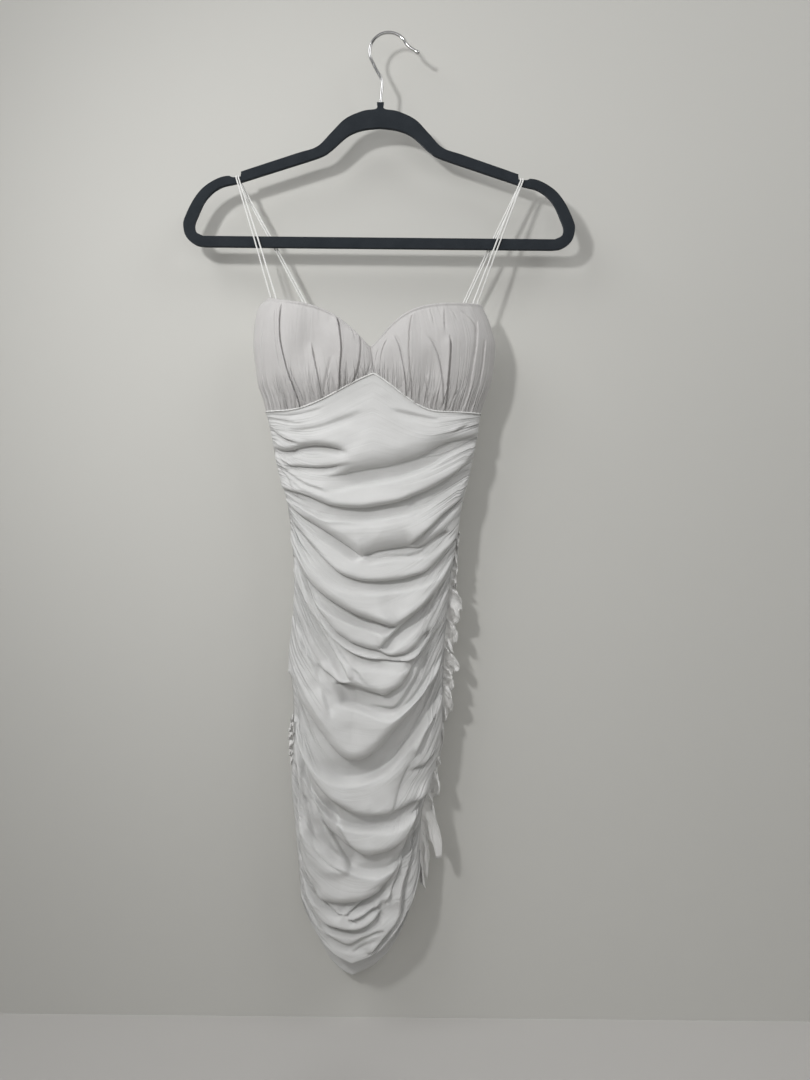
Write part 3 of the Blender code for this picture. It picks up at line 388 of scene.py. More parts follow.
def fold_relief(folds, x, z, stands, gain, tight=1.0):
    """How far the folds push the cloth out, and how their rolls slip over the creases."""
    out = np.zeros(x.shape)
    slip_x = np.zeros(x.shape)
    slip_z = np.zeros(x.shape)
    for fold in folds:
        here = near_fold(fold, x, z, FOLD_REACH * max(fold.above, fold.below))
        away, over_x, over_z, kept, narrow = from_crease(fold, x[here], z[here])
        above = fold.above * narrow
        below = DIP_WIDTH * tight * fold.below * narrow
        turn = tight * above * (TURN_LEAST + TURN_WIDE * min(1.0, fold.above / WIDE_ROLL))
        dip = DIP_SHARE * fold.depth
        roll = np.sqrt(np.clip(1 - (1 - np.clip(away / turn, 0, 1)) ** 2, 0, 1))
        tail = np.exp(-(np.maximum(away - turn, 0) / (TAIL_LENGTH * above)) ** TAIL_POWER)
        down = np.clip(-away / below, 0, 1)
        bag = min(1.0, max(0.0, (fold.below - BAG_FROM) / BAG_OVER))
        pocket = BAG_START + (1 - BAG_START) * down
        under = (1 - down ** 2) * (1 - bag)
        under = under + bag * pocket * (1 - ease(BAG_END, 1.0, down))
        sink = dip * (1 + BAG_DEEPER * bag)
        start = sink * (1 - (1 - BAG_START) * bag)
        shape = np.where(away < 0, -sink * under, (fold.depth - dip + start) * roll - start)
        shape = np.where(away > turn, (fold.depth - dip) * tail, shape)
        hold = SMALL_HELD if fold.above < SMALL_ROLL else HELD_AT_SEAMS
        held = kept * stands[here] ** hold
        out[here] += gain * shape * held
        droop = np.clip(away / turn, 0, 1) ** DROOP_POWER
        droop = np.where(away > turn, np.exp(-(away - turn) / (DROOP_TAIL * above)), droop)
        slip = DROOP * fold.lip * held * narrow * droop
        slip_x[here] += slip * over_x
        slip_z[here] += slip * over_z
    return out, slip_x, slip_z


NOISE_SIDE = 256
NOISE_SHIFT = 900.0


def soft_noise(x, z, size, seed):
    """Smooth seeded unevenness between -1 and 1, with hills about `size` across."""
    lattice = np.random.default_rng(seed).uniform(-1, 1, (NOISE_SIDE, NOISE_SIDE))
    u = x / size + NOISE_SHIFT
    v = z / size + NOISE_SHIFT
    i = np.floor(u).astype(int)
    j = np.floor(v).astype(int)
    s = u - i
    t = v - j
    s = s * s * (3 - 2 * s)
    t = t * t * (3 - 2 * t)
    corner = [[lattice[(i + a) % NOISE_SIDE, (j + b) % NOISE_SIDE] for b in (0, 1)]
              for a in (0, 1)]
    low = corner[0][0] * (1 - s) + corner[1][0] * s
    high = corner[0][1] * (1 - s) + corner[1][1] * s
    return low * (1 - t) + high * t


SEAM_CROWDING = 0.65
EASED = 0.1                 # how far each point of the cloth moves to its neighbours' middle


def spread_from_seams(even):
    """Places across a panel from -1 to 1, closer together near the seams."""
    return even + (np.sin(even * np.pi / 2) - even) * SEAM_CROWDING


def add_piece(name, mesh, material):
    """Puts a finished mesh in the scene, smooth and with its material."""
    mesh.shade_smooth()
    mesh.materials.append(material)
    piece = bpy.data.objects.new(name, mesh)
    bpy.context.scene.collection.objects.link(piece)
    return piece


def hang_cloth(name, grid, place, wall, cut, material, behind=False):
    """Lays a grid of cloth where `place` says and gives it its wall and its map."""
    mesh = bpy.data.meshes.new(name)
    cloth = bmesh.new()
    cloth.loops.layers.uv.new("cloth")
    bmesh.ops.create_grid(cloth, x_segments=grid[0], y_segments=grid[1], size=0.5)
    layer = cloth.loops.layers.uv["cloth"]
    for face in cloth.faces:
        for corner in face.loops:
            flat = corner.vert.co
            corner[layer].uv = ((flat.x + 0.5) * cut[0], (0.5 - flat.y) * cut[1])
    cloth.verts.ensure_lookup_table()
    flat = np.array([vert.co[:2] for vert in cloth.verts])
    points = place(2 * flat[:, 0], 0.5 - flat[:, 1])
    for vert, point in zip(cloth.verts, points * MM):
        vert.co = point
    bmesh.ops.smooth_vert(cloth, verts=[v for v in cloth.verts if not v.is_boundary],
                          factor=EASED, use_axis_x=True, use_axis_y=True,
                          use_axis_z=True)
    if behind:
        bmesh.ops.reverse_faces(cloth, faces=cloth.faces)
    cloth.to_mesh(mesh)
    cloth.free()
    piece = add_piece(name, mesh, material)
    shell = piece.modifiers.new("wall", "SOLIDIFY")
    shell.thickness = wall * MM
    shell.offset = -1.0
    return piece


# The pinches at the seams: least and most of each size, and how hard each side pulls.
PINCH_REACH = (0.12, 0.42)
PINCH_DEPTH = (0.7, 1.8)
PINCH_ABOVE = (2.2, 4.5)
PINCH_BELOW = (2.0, 4.0)
PINCH_LIP = 0.3
PINCH_FADE = 12.0
PINCH_FROM = 10.0           # how far below the waist seam they begin
PINCHES_APART = (8.0, 16.0)
PINCH_PULL = ((-1.0, 1.0), (1.0, 0.55))


def seam_pinches(rows, low_hem, seed):
    """Short creases that fan out of both side seams; the right one pulls less."""
    pick = np.random.default_rng(seed)
    pinches = []
    for side, pull in PINCH_PULL:
        low = WAIST_SEAM - PINCH_FROM
        while low > low_hem + PINCH_FADE:
            reach = pick.uniform(*PINCH_REACH) * pull
            across = side * (1 - reach * np.linspace(0.0, 1.0, 5))
            height = row_height(rows, np.full(5, low), across)
            middle, half, _, _ = form_at(height)
            crease = np.stack([middle + half * across, height], axis=1)
            if side > 0:
                crease = crease[::-1]
            fades = (0.0, PINCH_FADE) if side < 0 else (PINCH_FADE, 0.0)
            pinches.append(Fold(pick.uniform(*PINCH_DEPTH) * pull,
                                pick.uniform(*PINCH_ABOVE), pick.uniform(*PINCH_BELOW),
                                PINCH_LIP, *fades, crease))
            low -= pick.uniform(*PINCHES_APART)
    return pinches


def outward(across, depth, half, facing):
    """Level direction square to the dress's plain form."""
    x = across * depth
    y = facing * belly(across) * half
    size = np.hypot(x, y)
    return x / size, y / size


FOLD_GAIN = 1.6             # how proud the folds and the pinches stand
PINCH_GAIN = 1.3
PINCH_TIGHT = 0.8
CORNER_REACH = 0.15         # the hem's point, across the panel
CORNER_SLOPE = 0.6
CORNER_FROM = 0.85          # and from how far down the rows feel it
HELD_TOP = 0.012            # the shares of its length over which the sewn edge, the hem
HELD_HEM = 0.008            # and the depth of the folds at the top are held
HELD_DEPTH = 0.02
SWELL = (1.1, 45.0)         # depth and size of the cloth's broad unevenness
RIPPLE = (0.35, 16.0)       # and of its small one


def drape(rows, folds, facing, hem, corner, seed):
    """A function that lays one long panel on the dress, row by row."""
    pinches = seam_pinches(rows, hem, seed)

    def place(even, down):
        across = spread_from_seams(even)
        low = WAIST_SEAM + (hem - WAIST_SEAM) * down
        z = row_height(rows, low, across)
        if facing < 0:
            lift = seam_height(across) - WAIST_SEAM
            z = z + lift * ease(WAIST_SEAM - PEAK_SPREAD, WAIST_SEAM, low)
        off_corner = np.abs(across - rows[-1, 3])
        lift = corner * (1 - np.exp(-off_corner / CORNER_REACH))
        z = z + lift * (1 - CORNER_SLOPE * off_corner) * ease(CORNER_FROM, 1.0, down)
        loose = ease(0.0, HELD_TOP, down) * ease(0.0, HELD_HEM, 1 - down)
        middle, half, _, _ = form_at(z)
        z = z + (draw_to_creases(folds, middle + half * across, z) - z) * loose
        middle, half, front, back = form_at(z)
        depth = front if facing < 0 else back
        x = middle + half * across
        stands = belly(across)
        out, slip_x, slip_z = fold_relief(folds, x, z, stands, FOLD_GAIN)
        fine, fine_x, fine_z = fold_relief(pinches, x, z, stands, PINCH_GAIN, PINCH_TIGHT)
        uneven = SWELL[0] * soft_noise(x, 3 * z + 0.4 * x, SWELL[1], seed)
        uneven += RIPPLE[0] * soft_noise(x, 2.2 * z - 0.3 * x, RIPPLE[1], seed + 1)
        out = (out + fine + uneven * stands) * ease(0.0, HELD_DEPTH, down)
        way_x, way_y = outward(across, depth, half, facing)
        y = facing * (depth * stands + HALF_GAP)
        x = x + (slip_x + fine_x) * loose * stands
        z = z + (slip_z + fine_z) * loose
        z = z - np.where(down == 0, HALF_GAP, 0.0)
        return np.stack([x + way_x * out, y + way_y * out, z], axis=1)

    return place


def fill(tree, sockets, values):
    """Sets a node's inputs, or links them where the value is another node's output."""
    for label, value in values.items():
        if isinstance(value, bpy.types.NodeSocket):
            tree.links.new(value, sockets[label])
        else:
            sockets[label].default_value = value


def node(tree, kind, values, out=0, **settings):
    """Adds a shader node with its inputs and settings, and gives one of its outputs."""
    made = tree.nodes.new("ShaderNode" + kind)
    for label, value in settings.items():
        setattr(made, label, value)
    fill(tree, made.inputs, values)
    return made.outputs[out]


def maths(tree, operation, *values):
    """One sum of numbers."""
    return node(tree, "Math", dict(enumerate(values)), operation=operation)


def mixed(tree, share, low, high):
    """A colour between two, each given as red, green and blue or as a node's output."""
    low, high = [end if isinstance(end, bpy.types.NodeSocket) else (*end, 1)
                 for end in (low, high)]
    return node(tree, "Mix", {0: share, 6: low, 7: high}, 2, data_type="RGBA")


def ranged(tree, value, span, onto, **settings):
    """A number read from one range onto another."""
    return node(tree, "MapRange", {"Value": value, "From Min": span[0],
                                   "From Max": span[1], "To Min": onto[0],
                                   "To Max": onto[1]}, **settings)


def speckle(tree, scale, detail):
    """Noise in the piece's own coordinates."""
    place = node(tree, "TexCoord", {}, "Object")
    return node(tree, "TexNoise", {"Vector": place, "Scale": scale, "Detail": detail})


def bump(tree, strength, distance, height, **over):
    """The normal of a fine relief, over another normal where one is given."""
    return node(tree, "Bump", {"Strength": strength, "Distance": distance,
                               "Height": height, **over})


def node_group(name, inputs, outputs):
    """A shader node group with named inputs and outputs, and its two ends' sockets."""
    group = bpy.data.node_groups.new(name, "ShaderNodeTree")
    for label, kind, value in inputs:
        socket = group.interface.new_socket(label, in_out="INPUT",
                                            socket_type="NodeSocket" + kind)
        if value is not None:
            socket.default_value = value
    for label, kind in outputs:
        group.interface.new_socket(label, in_out="OUTPUT",
                                   socket_type="NodeSocket" + kind)
    given = group.nodes.new("NodeGroupInput").outputs
    result = group.nodes.new("NodeGroupOutput").inputs
    return group, given, result


def new_material(name):
    """A material, its node tree and the inputs of its shader."""
    material = bpy.data.materials.new(name)
    material.use_nodes = True
    tree = material.node_tree
    return material, tree, tree.nodes["Principled BSDF"].inputs


# The fine knit that all the cloth shares: wales and courses a little under a
# millimetre apart, and a slight unevenness of tone and nap.
WALES = 330.0
knit, given, result = node_group(
    "fine_knit",
    [("Vector", "Vector", None), ("Cloth", "Color", (0.8, 0.8, 0.8, 1)),
     ("Worn", "Color", (0.7, 0.7, 0.7, 1)), ("Wales", "Float", WALES),
     ("Roughness", "Float", 0.55)],
    [("Color", "Color"), ("Roughness", "Float"), ("Height", "Float")])
wales = node(knit, "TexWave", {"Vector": given["Vector"], "Scale": given["Wales"],
                               "Distortion": 0.6, "Detail": 1.0}, "Fac",
             wave_type="BANDS", bands_direction="X")
courses = node(knit, "TexWave", {"Vector": given["Vector"], "Scale": given["Wales"],
                                 "Distortion": 0.6}, "Fac",
               wave_type="BANDS", bands_direction="Y")
mottle = node(knit, "TexNoise", {"Vector": given["Vector"], "Scale": 38.0,
                                 "Detail": 4.0, "Roughness": 0.6})
tone = ranged(knit, mottle, (0.3, 0.75), (0.0, 1.0))
fill(knit, result, {
    "Color": mixed(knit, tone, given["Cloth"], given["Worn"]),
    "Roughness": maths(knit, "MULTIPLY_ADD", mottle, 0.14, given["Roughness"]),
    "Height": maths(knit, "MULTIPLY", wales, courses)})

# Fine sharp creases that run along x of the vector and lie close together along y.
gathers, given, result = node_group(
    "gathered_creases", [("Vector", "Vector", None), ("Kept", "Float", 1.0)],
    [("Height", "Float")])
wander = node(gathers, "TexNoise", {"Vector": given["Vector"], "Scale": 0.5,
                                    "Detail": 1.0}, "Color", noise_dimensions="2D")
swerve = node(gathers, "VectorMath", {0: wander, 1: (0.0, 2.4, 0.0),
                                      2: given["Vector"]}, operation="MULTIPLY_ADD")
lines = node(gathers, "TexNoise", {"Vector": swerve, "Scale": 1.0, "Detail": 2.0,
                                   "Roughness": 0.45}, noise_dimensions="2D")
off_line = maths(gathers, "ABSOLUTE", maths(gathers, "SUBTRACT", lines, 0.5))
crisp = maths(gathers, "POWER", off_line, 0.6)
fill(gathers, result, {"Height": maths(gathers, "MULTIPLY", crisp, given["Kept"])})

# Where those creases show: their scale, the axis of the map that they fade along, its
# middle, where they start and are full, the least that stays and their height.
Gathering = namedtuple("Gathering", "scale axis middle start full least high")


def jersey(name, cloth, worn, fineness, roughness, relief, sheen, gathering=None):
    """A matt stretch jersey on the piece's own surface map, with its fine gathers."""
    material, tree, shader = new_material(name)
    surface = node(tree, "UVMap", {}, uv_map="cloth")
    knit_out = node(tree, "Group", {"Vector": surface, "Cloth": (*cloth, 1),
                                    "Worn": (*worn, 1), "Wales": fineness,
                                    "Roughness": roughness}, node_tree=knit).node.outputs
    under = {}
    if gathering is not None:
        spread = node(tree, "VectorMath", {0: surface, 1: gathering.scale},
                      operation="MULTIPLY")
        if gathering.axis == "Y":
            spread = node(tree, "VectorRotate", {"Vector": spread, "Angle": math.pi / 2},
                          rotation_type="Z_AXIS")
        place = node(tree, "SeparateXYZ", {"Vector": surface}, gathering.axis)
        off_middle = maths(tree, "ABSOLUTE",
                           maths(tree, "SUBTRACT", place, gathering.middle))
        kept = ranged(tree, off_middle, (gathering.start, gathering.full),
                      (gathering.least, 1.0), interpolation_type="SMOOTHSTEP")
        creased = node(tree, "Group", {"Vector": spread, "Kept": kept},
                       node_tree=gathers)
        under["Normal"] = bump(tree, 1.0, gathering.high, creased)
    fill(tree, shader, {
        "Base Color": knit_out["Color"], "Roughness": knit_out["Roughness"],
        "Normal": bump(tree, relief, 0.0002, knit_out["Height"], **under),
        "Sheen Weight": sheen, "Sheen Roughness": 0.4, "Specular IOR Level": 0.3})
    return material


BODY_WHITE = ((0.66, 0.66, 0.652), (0.63, 0.63, 0.62))
BODY_KNIT = (WALES, 0.52, 0.35, 0.08)
body_jersey = jersey("body_jersey", *BODY_WHITE, *BODY_KNIT,
                     Gathering((7.0, 120.0, 1.0), "X", 0.125, 0.03, 0.12, 0.12, 0.003))

front = hang_cloth("body_front_cloth", (104, 430),
                   drape(FRONT_ROWS, FRONT_FOLDS, -1, HEM_LOW, FRONT_CORNER, 11), JERSEY,
                   FRONT_CUT, body_jersey)
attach(front, "root")
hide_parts("body_front")


# ---- Back panel ----------------------------------------------------------------------
# The same doubled jersey, gathered on the same side seams. It hangs a little lower
# than the front and its swags are broader.

BACK_HEM_LOW = -1083.0
BACK_CORNER = 6.0
BACK_CUT = (0.25, 0.85)
BACK_ROWS = np.array([
    (-434, -434, -434, 0.0, 0.0, 0.0), (-520, -500, -490, 0.0, 0.0, 0.0),
    (-620, -565, -560, 0.1, 0.0, 0.0), (-790, -700, -690, 0.0, 0.0, 0.0),
    (-955, -850, -810, -0.1, 0.0, 0.3), (-1083, -985, -932, -0.14, 0.0, 1.0),
])
BACK_FOLDS = [
    Fold(5, 14, 12, 1, 0, 0, [(-128, -466), (-103.5, -472), (-79, -476.5), (-54.5, -480.5),
         (-30, -482), (3.5, -480), (37, -475.5), (70.5, -469.5), (104, -462)]),
    Fold(6, 14, 11, 1, 0, 26, [(-118, -508), (-83.5, -518), (-49, -526), (-14.5, -532.5),
         (20, -536), (30, -536), (40, -536)]),
    Fold(7, 15, 12, 2, 22, 0, [(-40, -560), (-37.5, -560.5), (-35, -560.5), (-32.5, -561),
         (-30, -561), (0.5, -556.5), (31, -547.5), (61.5, -535), (92, -520)]),
    Fold(8, 16, 12, 2, 0, 0, [(-105, -560), (-80, -581), (-55, -597), (-30, -607.5), (-5, -612),
         (17, -608), (38.5, -599), (60, -584.5), (82, -566)]),
    Fold(9, 16, 12, 2, 0, 26, [(-103, -606), (-82, -628.5), (-61.5, -646), (-41, -657.5),
         (-20, -662), (-7.5, -661), (5, -659.5), (17.5, -657.5), (30, -655)]),
    Fold(9, 16, 13, 2, 22, 0, [(-30, -712), (-27.5, -712.5), (-25, -712.5), (-22.5, -713),
         (-20, -713), (4, -704.5), (28, -685), (52, -657), (76, -622)]),
    Fold(10, 17, 14, 2, 0, 0, [(-106, -660), (-83, -698.5), (-60.5, -727.5), (-38, -745.5),
         (-15, -752), (6, -746.5), (27.5, -730.5), (49, -705.5), (70, -672)]),
    Fold(10, 17, 13, 2, 0, 22, [(-102, -722), (-79.5, -759.5), (-57, -786.5), (-34.5, -802.5),
         (-12, -808), (1, -805.5), (14, -800.5), (27, -794), (40, -786)]),
    Fold(11, 18, 14, 2, 0, 0, [(-101, -778), (-82, -811.5), (-63, -836.5), (-44, -852.5),
         (-25, -858), (-2, -848.5), (20.5, -824.5), (43, -789), (66, -742)]),
    Fold(10, 16, 14, 2, 0, 0, [(-102, -838), (-81.5, -871.5), (-61, -896), (-40.5, -910),
         (-20, -915), (-2, -910), (16, -895.5), (34, -872.5), (52, -842)]),
    Fold(9, 15, 12, 2, 0, 16, [(-97, -898), (-81.5, -928.5), (-66, -950.5), (-50.5, -963.5),
         (-35, -968), (-21, -965.5), (-7.5, -959.5), (6, -951), (20, -940)]),
    Fold(8, 14, 12, 2, 0, 0, [(-92, -945), (-76, -979), (-60, -1002.5), (-44, -1016), (-28, -1020),
         (-11, -1011.5), (6, -989), (23, -953.5), (40, -905)]),
]

back = hang_cloth("body_back_cloth", (84, 300),
                  drape(BACK_ROWS, BACK_FOLDS, 1, BACK_HEM_LOW, BACK_CORNER, 23), JERSEY,
                  BACK_CUT, body_jersey, behind=True)
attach(back, "root")
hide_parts("body_back")


# ---- Back of the bodice --------------------------------------------------------------
# A plain short panel of the same jersey, seamed to the skirt at the waist and stretched
# between the side seams. Its top edge dips between the straps.

NECK_DIP = -363.0           # the lowest place of the neckline, between the cups
NECK_LEAN = -0.025          # and how far it lies to the left of the middle
NECK_RISE = 50.0
NECK_REACH = 0.25
NECK_POWER = 1.25
NECK_LIFT = (10.0, 3.0)     # how much higher it ends at the sides, left and right
BACK_NECK_DIP = -360.0
BACK_NECK_POWER = 2.5
BODICE_MAP = (0.28, 0.1)
STRAIN = (0.5, 0.7)         # how uneven it is, everywhere and above the waist seam
STRAIN_SIZE = 14.0


def neckline_height(across):
    """The sweetheart neckline over both cups."""
    left, right = NECK_LIFT
    away = np.abs(across - NECK_LEAN)
    side_lift = np.where(across > NECK_LEAN, right, left)
    rise = NECK_RISE * (1 - np.exp(-(away / NECK_REACH) ** NECK_POWER))
    return NECK_DIP + rise + side_lift * away ** 4


def lay_back_bodice(even, down):
    """Lays the back bodice from its top edge down to the waist seam."""
    across = spread_from_seams(even)
    side = neckline_height(np.where(across > 0, 1.0, -1.0))
    top = BACK_NECK_DIP + (side - BACK_NECK_DIP) * np.abs(across) ** BACK_NECK_POWER
    z = top + (WAIST_SEAM + HALF_GAP - top) * down
    middle, half, _, back_depth = form_at(z)
    x = middle + half * across
    strain = STRAIN[0] * soft_noise(0.35 * x, 2.5 * z, STRAIN_SIZE, 31)
    gathered = STRAIN[1] * ease(0.7, 1.0, down)
    strain += gathered * soft_noise(3 * x, 0.3 * z, STRAIN_SIZE, 33)
    strain *= belly(across) * ease(0.0, 0.08, down) * ease(0.0, 0.05, 1 - down)
    y = back_depth * belly(across) + HALF_GAP + strain
    return np.stack([x, y, z], axis=1)


plain_jersey = jersey("plain_jersey", *BODY_WHITE, *BODY_KNIT)
bodice = hang_cloth("bodice_back_cloth", (110, 50), lay_back_bodice, JERSEY, BODICE_MAP,
                    plain_jersey, behind=True)
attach(bodice, "root")
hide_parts("bodice_back")


# ---- Cups ----------------------------------------------------------------------------
# Thin moulded foam under a thinner jersey, which is gathered into the seam below and
# drawn up to the neckline, so creases of all lengths run up from the seam.

CUP_WALL = 3.0
CUP_BULGE = 17.0            # how far a cup stands out
CUP_APEX = 0.62             # how far up it does so most
CUP_SLOPE = 0.4             # how much of that it has lost at the neckline
CUP_ROUND = 0.75            # the smaller, the fuller it is towards its sides
CUP_EDGE = 0.3              # and the sooner its gathers stand out beside the seams
CUP_GAIN = 1.3
CUP_TIGHT = 0.45
CUP_UNEVEN = (0.35, 16.0)   # the slight unevenness of its skin: how high and how wide
CUP_MAP = (0.2, 0.14)
LEFT_GATHERS = [
    Fold(1.2, 5, 5, 0, 4, 8, [(-128.5, -429), (-134, -409.5), (-137.5, -385.5), (-138.5, -356.5),
         (-137, -331.5)]),
    Fold(1.8, 5, 5, 0, 3, 6, [(-104, -423), (-109.5, -405), (-117, -384), (-122, -356),
         (-123.5, -335), (-123, -319)]),
    Fold(4.2, 4.5, 3.5, 1, 0, 0, [(-94, -432.5), (-99.5, -416), (-107, -396.5), (-112.5, -377),
         (-117, -356), (-118, -335), (-116.5, -317.5)]),
    Fold(2, 4, 4, 0.3, 2, 6, [(-88, -429), (-95.5, -411.5), (-102.5, -396), (-107, -384)]),
    Fold(3, 6, 4, 0.6, 0, 9, [(-69, -429.5), (-72, -410), (-76, -390.5), (-80, -372.5),
         (-82, -357)]),
    Fold(2.2, 5, 6, 0.2, 8, 3, [(-58.5, -373), (-61, -390), (-65, -407), (-68, -425)]),
    Fold(4, 4.5, 4, 1, 0, 3, [(-51.5, -419.5), (-50.5, -390), (-49, -369.5), (-51, -348.5),
         (-55, -330)]),
    Fold(1.6, 4, 4, 0, 2, 8, [(-46.5, -416), (-44, -400), (-43.5, -382.5)]),
    Fold(3.4, 4.5, 4, 0.8, 0, 5, [(-40, -411), (-33, -395.5), (-29, -381.5), (-27.5, -365),
         (-29, -351), (-33, -340.5)]),
    Fold(1.8, 3, 3, 0.2, 5, 0, [(-33, -358.5), (-36, -348.5), (-41.5, -336)]),
    Fold(1.5, 3, 3, 0.2, 5, 0, [(-49, -346.5), (-53.5, -337), (-57, -328)]),
    Fold(1.8, 3, 3, 0.2, 3, 3, [(-22, -397.5), (-16.5, -379), (-20.5, -362.5)]),
]
RIGHT_GATHERS = [
    Fold(1.5, 3, 3, 0.2, 3, 3, [(-18, -394), (-16.5, -379), (-15.5, -367)]),
    Fold(1.6, 3, 3, 0.2, 3, 3, [(-12, -394), (-11, -379), (-7.5, -364.5)]),
    Fold(1.8, 4, 4, 0.2, 3, 5, [(-4.5, -399.5), (-5.5, -382), (-3, -367), (2, -355)]),
    Fold(2.8, 6, 4, 0.6, 0, 5, [(24, -421), (22, -399), (19, -382), (14.5, -362.5), (8.5, -350.5)]),
    Fold(4.2, 5, 3.5, 1, 0, 0, [(30, -329), (28, -343.5), (27.5, -365.5), (28.5, -387), (31, -409),
         (32.5, -428.5)]),
    Fold(2.4, 7, 5, 0.3, 2, 9, [(64.5, -428), (63, -401), (58.5, -377), (52.5, -362), (45, -352.5)]),
    Fold(3.8, 5.5, 5, 0.9, 0, 8, [(66.5, -432.5), (68, -414), (69.5, -392), (70.5, -370.5),
         (70.5, -350)]),
    Fold(1.8, 4, 4, 0.2, 7, 0, [(66, -349), (64.5, -336), (64.5, -322.5)]),
    Fold(1.6, 3, 3, 0.2, 5, 0, [(53, -340), (50.5, -330.5), (49, -323.5)]),
    Fold(1.5, 4, 4, 0, 6, 0, [(78.5, -335.5), (76, -328), (73, -322.5)]),
    Fold(1.8, 5, 5, 0, 6, 2, [(102, -348.5), (98, -335.5), (91, -327.5), (83.5, -323)]),
    Fold(3, 6, 6, 0.5, 8, 0, [(102.5, -329), (101.5, -359.5), (97.5, -386.5), (93.5, -410.5),
         (85.5, -434.5)]),
    Fold(2.6, 5, 5, 0.5, 4, 0, [(112, -351.5), (109.5, -381), (105, -405), (96.5, -433)]),
    Fold(2.6, 4, 4, 0.5, 5, 0, [(82, -407.5), (76, -422.5), (70.5, -434.5)]),
    Fold(2, 4, 4, 0.3, 5, 0, [(44.5, -394.5), (48, -412), (48.5, -428)]),
]

# Soft hollows in the foam.
Dent = namedtuple("Dent", "x z wide tall deep")
LEFT_DENTS = [Dent(-81, -365, 22, 34, 11), Dent(-58, -385, 9, 26, 2.5)]
RIGHT_DENTS = [Dent(54, -388, 14, 24, 4.0), Dent(12, -380, 9, 22, 2.5)]

# The turned edge at the neckline, and the groove below it: how far below the edge each
# lies and how wide it is.
WELT = 0.9
WELT_ROLL = (1.3, 1.1)
WELT_GROOVE = (3.7, 1.2)

# The short gathers: least and most of each size, as shares of the cup or in millimetres.
GATHER_TALL = (0.08, 0.3)
GATHER_LEAN = (-0.02, 0.02)
GATHER_DEPTH = (0.8, 2.0)
GATHER_ABOVE = (2.0, 3.4)
GATHER_BELOW = (1.8, 2.8)
GATHERS_APART = (0.028, 0.052)
GATHERS_FROM = 0.05
GATHERS_TO = 0.94
GATHER_FAN = 0.02
GATHER_FADE = 6.0


def short_gathers(side, seed):
    """The many short creases that rise from the seam under a cup."""
    pick = np.random.default_rng(seed)
    creases = []
    share = GATHERS_FROM
    while share < GATHERS_TO:
        tall = pick.uniform(*GATHER_TALL)
        lean = pick.uniform(*GATHER_LEAN) + GATHER_FAN * (share - 0.5)
        up = np.linspace(0.0, tall, 4)
        across = side * (1 - (share + lean * up / tall))
        foot = seam_height(across)
        z = foot + (neckline_height(across) - foot) * up
        middle, half, _, _ = form_at(z)
        crease = np.stack([middle + half * across, z], axis=1)
        creases.append(Fold(pick.uniform(*GATHER_DEPTH), pick.uniform(*GATHER_ABOVE),
                            pick.uniform(*GATHER_BELOW), 0.0, 0.0, GATHER_FADE, crease))
        share += pick.uniform(*GATHERS_APART)
    return creases


def lay_cup(side, gathers, dents, seed):
    """A function that lays one cup between its side seam, centre and two edges."""
    creases = gathers + short_gathers(side, seed)

    def place(even, down):
        share = (1 + even) / 2 if side < 0 else (1 - even) / 2
        share = share + (np.sin((share - 0.5) * np.pi) / 2 + 0.5 - share) * 0.5
        up = 1 - down
        centre = NECK_LEAN * up
        across = side + (centre - side) * share
        foot = seam_height(across)
        z = foot + (neckline_height(across) - foot) * up
        middle, half, front_depth, _ = form_at(z)
        low_part = 1 - (1 - up / CUP_APEX) ** 2
        high_part = 1 - CUP_SLOPE * ((up - CUP_APEX) / (1 - CUP_APEX)) ** 2
        sides = np.sin(np.pi * np.clip(share, 0.0, 1.0))
        dome = CUP_BULGE * sides ** CUP_ROUND * np.where(up < CUP_APEX, low_part, high_part)
        stands = sides ** CUP_EDGE
        x = middle + half * across
        out, slip_x, slip_z = fold_relief(creases, x, z, stands, CUP_GAIN, CUP_TIGHT)
        out += CUP_UNEVEN[0] * soft_noise(2.2 * x, 0.4 * z, CUP_UNEVEN[1], seed + 5)
        for dent in dents:
            near = ((x - dent.x) / dent.wide) ** 2 + ((z - dent.z) / dent.tall) ** 2
            out -= dent.deep * np.exp(-near)
        from_top = neckline_height(across) - z
        roll, groove = [np.exp(-((from_top - below) / wide) ** 2)
                        for below, wide in (WELT_ROLL, WELT_GROOVE)]
        out += WELT * (roll - 0.5 * groove)
        free = ease(0.0, 0.03, up) * ease(0.0, 0.03, 1 - up) * sides
        y = -(front_depth * belly(across) + HALF_GAP + dome + out * stands)
        z = z + slip_z * free + np.where(down == 1, HALF_GAP, 0.0)
        x = x + slip_x * free + np.where(share >= 1, side * HALF_GAP, 0.0)
        return np.stack([x, y, z], axis=1)

    return place


cup_jersey = jersey("cup_jersey", (0.56, 0.548, 0.54), (0.53, 0.518, 0.51),
                    360.0, 0.5, 0.3, 0.1,
                    Gathering((150.0, 9.0, 1.0), "Y", 0.045, 0.025, 0.085, 0.14, 0.0034))
for name, side, creases, dents, seed in (
        ("cup_left", -1, LEFT_GATHERS, LEFT_DENTS, 41),
        ("cup_right", 1, RIGHT_GATHERS, RIGHT_DENTS, 42)):
    cup = hang_cloth(name + "_gathered", (180, 120), lay_cup(side, creases, dents, seed),
                     CUP_WALL, CUP_MAP, cup_jersey)
    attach(cup, "root")
    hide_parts(name)


# ---- Piping under the bust -----------------------------------------------------------
# A fine roll of the body's jersey, sewn into the seam between the cups and the skirt.

PIPING_RADIUS = 0.95
PIPING_OUT = 0.5            # how far its middle lies in front of the cloth
PIPING_UP = 0.1             # and above the seam
PIPING_END = 0.985          # how near the side seams it ends


def mesh_of(curve):
    """Turns a finished curve into a mesh."""
    drawn = bpy.data.objects.new(curve.name, curve)
    mesh = bpy.data.meshes.new_from_object(drawn)
    bpy.data.objects.remove(drawn)
    bpy.data.curves.remove(curve)
    return mesh


